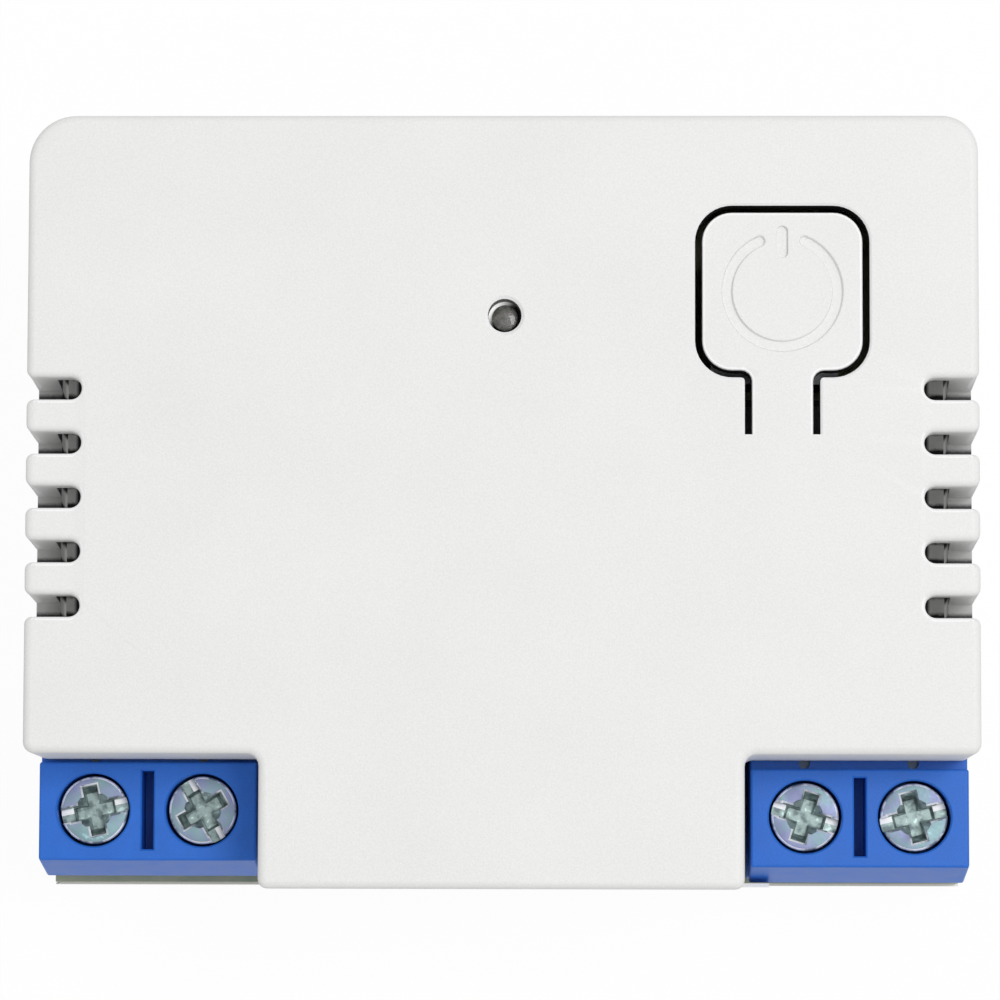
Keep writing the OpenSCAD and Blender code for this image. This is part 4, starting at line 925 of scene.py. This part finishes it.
def windingFinish(name, tone, pitch):
    finish = Finish(name, Metallic=0.6, Roughness=0.35)
    turns = finish.node("ShaderNodeTexWave", {"wave_type": "BANDS", "bands_direction": "Z"}, {
        "Vector": finish.place, "Scale": wavePeriod / (pitch * mm), "Distortion": 0.4})
    cloud = finish.speckle(0.5, 3)
    finish.set(Base_Color=finish.ramp(turns * 0.7 + cloud * 0.3,
                                      (0.15, shade(tone, 0.45)), (0.8, shade(tone, 1.1))))
    finish.dent(turns, pitch * 0.3)
    return finish.material


def sleeve(spec=sleeveSpec):
    finish = Finish("capacitor_sleeve")
    cloud = finish.speckle(0.6, 3)
    tone = finish.ramp(cloud, (0.3, linear(28, 32, 44)), (0.7, linear(44, 50, 66)))
    bare = finish.axis("Z") > spec["top"] * mm
    finish.set(Base_Color=tone, Roughness=cloud * 0.2 + 0.3, Metallic=bare * spec["shine"])
    finish.dent(cloud, 0.01)
    return finish.material


# finish: how it is made, its tone, its other values in order, and the pieces that have it
insideSpec = {
    "dark_laminate": (mouldedPlastic, (14, 22, 20), (0.1, 0.006, 0.2, 0.5), ["radio_board"]),
    "black_plastic": (mouldedPlastic, (34, 34, 36), (0.1, 0.006, 0.2, 0.45), [
        "switch_base", "switch_plunger", "bridge_rectifier", "converter_chip", "transformer_bobbin"]),
    "led_package": (mouldedPlastic, (226, 222, 206), (0.1, 0.004, 0.06), ["indicator_led"]),
    "relay_plastic": (mouldedPlastic, (17, 17, 19), (0.12, 0.006, 0.12, 0.4), ["relay_base", "relay_case"]),
    "bobbin_plastic": (mouldedPlastic, (214, 208, 190), (0.12, 0.005, 0.06), ["relay_bobbin"]),
    "varistor_coat": (mouldedPlastic, (38, 84, 156), (0.3, 0.02, 0.12, 0.35, 1.2), ["varistor"]),
    "ceramic": (mouldedPlastic, (222, 216, 200), (0.14, 0.006, 0.07, 0.4), ["safety_fuse"]),
    "resistor_lacquer": (mouldedPlastic, (112, 148, 132), (0.16, 0.008, 0.12, 0.4), ["fusible_resistor"]),
    "ferrite": (mouldedPlastic, (20, 20, 21), (0.08, 0.01, 0.25, 0.6), ["transformer_core"]),
    "antenna_jacket": (mouldedPlastic, (44, 44, 48), (0.12, 0.006, 0.15, 0.4), ["antenna_wire"]),
    "chip_ceramic": (mouldedPlastic, (150, 124, 96), (0.1, 0.006, 0.2, 0.45), ["surface_parts"]),
    "brass_cage": (plainMetal, (206, 176, 104), (0.32,), ["terminal_cage_%d" % i for i in (1, 2, 3, 4)]),
    "sheet_steel": (plainMetal, (196, 198, 202), (0.3, 0.1, 0.1, 0.003, (1, 12, 1)), [
        "switch_frame", "switch_dome"]),
    "shield_steel": (plainMetal, (104, 104, 107), (0.75, 0.1), ["radio_shield"]),
    "soft_iron": (plainMetal, (150, 152, 156), (0.4, 0.14), ["relay_core", "relay_yoke", "relay_armature"]),
    "contact_brass": (plainMetal, (202, 150, 96), (0.3,), [
        "relay_contact_spring", "relay_fixed_contact", "current_shunt"]),
    "tinned_pins": (plainMetal, (208, 208, 204), (0.32,), ["relay_pins", "transformer_pins"]),
    "copper": (windingFinish, (196, 106, 60), (0.14,), ["relay_winding"]),
    "winding_tape": (windingFinish, (214, 176, 66), (1.2,), ["transformer_winding"]),
}


def dress(finish, nodes):
    for node in nodes:
        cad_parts[node].material_slots[0].material = finish


for name, (make, tone, values, nodes) in insideSpec.items():
    dress(make(name, linear(*tone), *values), nodes)
dress(laminate(), ["circuit_board"])
dress(sleeve(), ["bulk_capacitor", "output_capacitor"])
dress(zincCoat, ["clamp_plate_%d" % i for i in (1, 2, 3, 4)])
print("inside finishes are set")


# floor, light and camera

stageSpec = {"floor": 1.2, "drop": 0.05, "shadow": 0.05, "bounce": 0.6, "paper": 0.96, "ambient": 0.62,
             "key": 3.05, "keyAt": (0.30, 0.08, 0.84), "keySize": 0.3}  # lengths in metres, but for the drop
cameraSpec = {"at": (4.02, -21.6, 246.35), "aim": (-0.085, -0.04, 18.0), "roll": 0.16,  # in millimetres, degrees
              "lens": 183.6, "sensor": 36, "clip": (0.01, 10)}


def makeFloor(spec=stageSpec):
    bpy.ops.object.select_all(action="DESELECT")
    bpy.ops.mesh.primitive_plane_add(size=spec["floor"], location=(0, 0, -spec["drop"] * mm))
    floor = bpy.context.object
    floor.name = "floor"
    bpy.ops.object.transform_apply(location=True, rotation=True, scale=True)
    paper = bpy.data.materials.new("paper")
    graph = Graph(paper)
    seen = graph.seen()
    dull, pale = (graph.node("ShaderNodeBsdfDiffuse", None, {"Color": (spec[k],) * 3})
                  for k in ("bounce", "paper"))
    matt = graph.node("ShaderNodeMixShader", None, {0: seen, 1: dull, 2: pale})
    glow = graph.node("ShaderNodeEmission")
    surface = graph.node("ShaderNodeMixShader", None, {0: seen * (1 - spec["shadow"]), 1: matt, 2: glow})
    graph.node("ShaderNodeOutputMaterial", None, {"Surface": surface})
    floor.data.materials.append(paper)


def makeLight(spec=stageSpec):
    world = bpy.data.worlds.new("studio")
    bpy.context.scene.world = world
    graph = Graph(world)
    strength = graph.seen() * (1 - spec["ambient"]) + spec["ambient"]
    sky = graph.node("ShaderNodeBackground", None, {"Color": (1, 1, 1), "Strength": strength})
    graph.node("ShaderNodeOutputWorld", None, {"Surface": sky})
    bpy.ops.object.light_add(type="AREA", location=spec["keyAt"])
    key = bpy.context.object
    key.name = "key_light"
    key.data.energy, key.data.size = spec["key"], spec["keySize"]
    key.rotation_euler = Vector(spec["keyAt"]).to_track_quat("Z", "Y").to_euler()


def makeCamera(spec=cameraSpec):
    at, aim = (Vector(spec[k]) * mm for k in ("at", "aim"))
    back = (at - aim).normalized()
    right = Vector((0, 1, 0)).cross(back).normalized()
    up = back.cross(right)
    turn = Matrix((right, up, back)).transposed() @ Matrix.Rotation(math.radians(spec["roll"]), 3, "Z")
    data = bpy.data.cameras.new("camera")
    data.lens, data.sensor_width = spec["lens"], spec["sensor"]
    data.clip_start, data.clip_end = spec["clip"]
    camera = bpy.data.objects.new("camera", data)
    camera.matrix_world = Matrix.Translation(at) @ turn.to_4x4()
    bpy.context.scene.collection.objects.link(camera)
    bpy.context.scene.camera = camera


makeFloor()
makeLight()
makeCamera()
bpy.context.scene.view_settings.view_transform = "Standard"
print("stage and camera are ready")
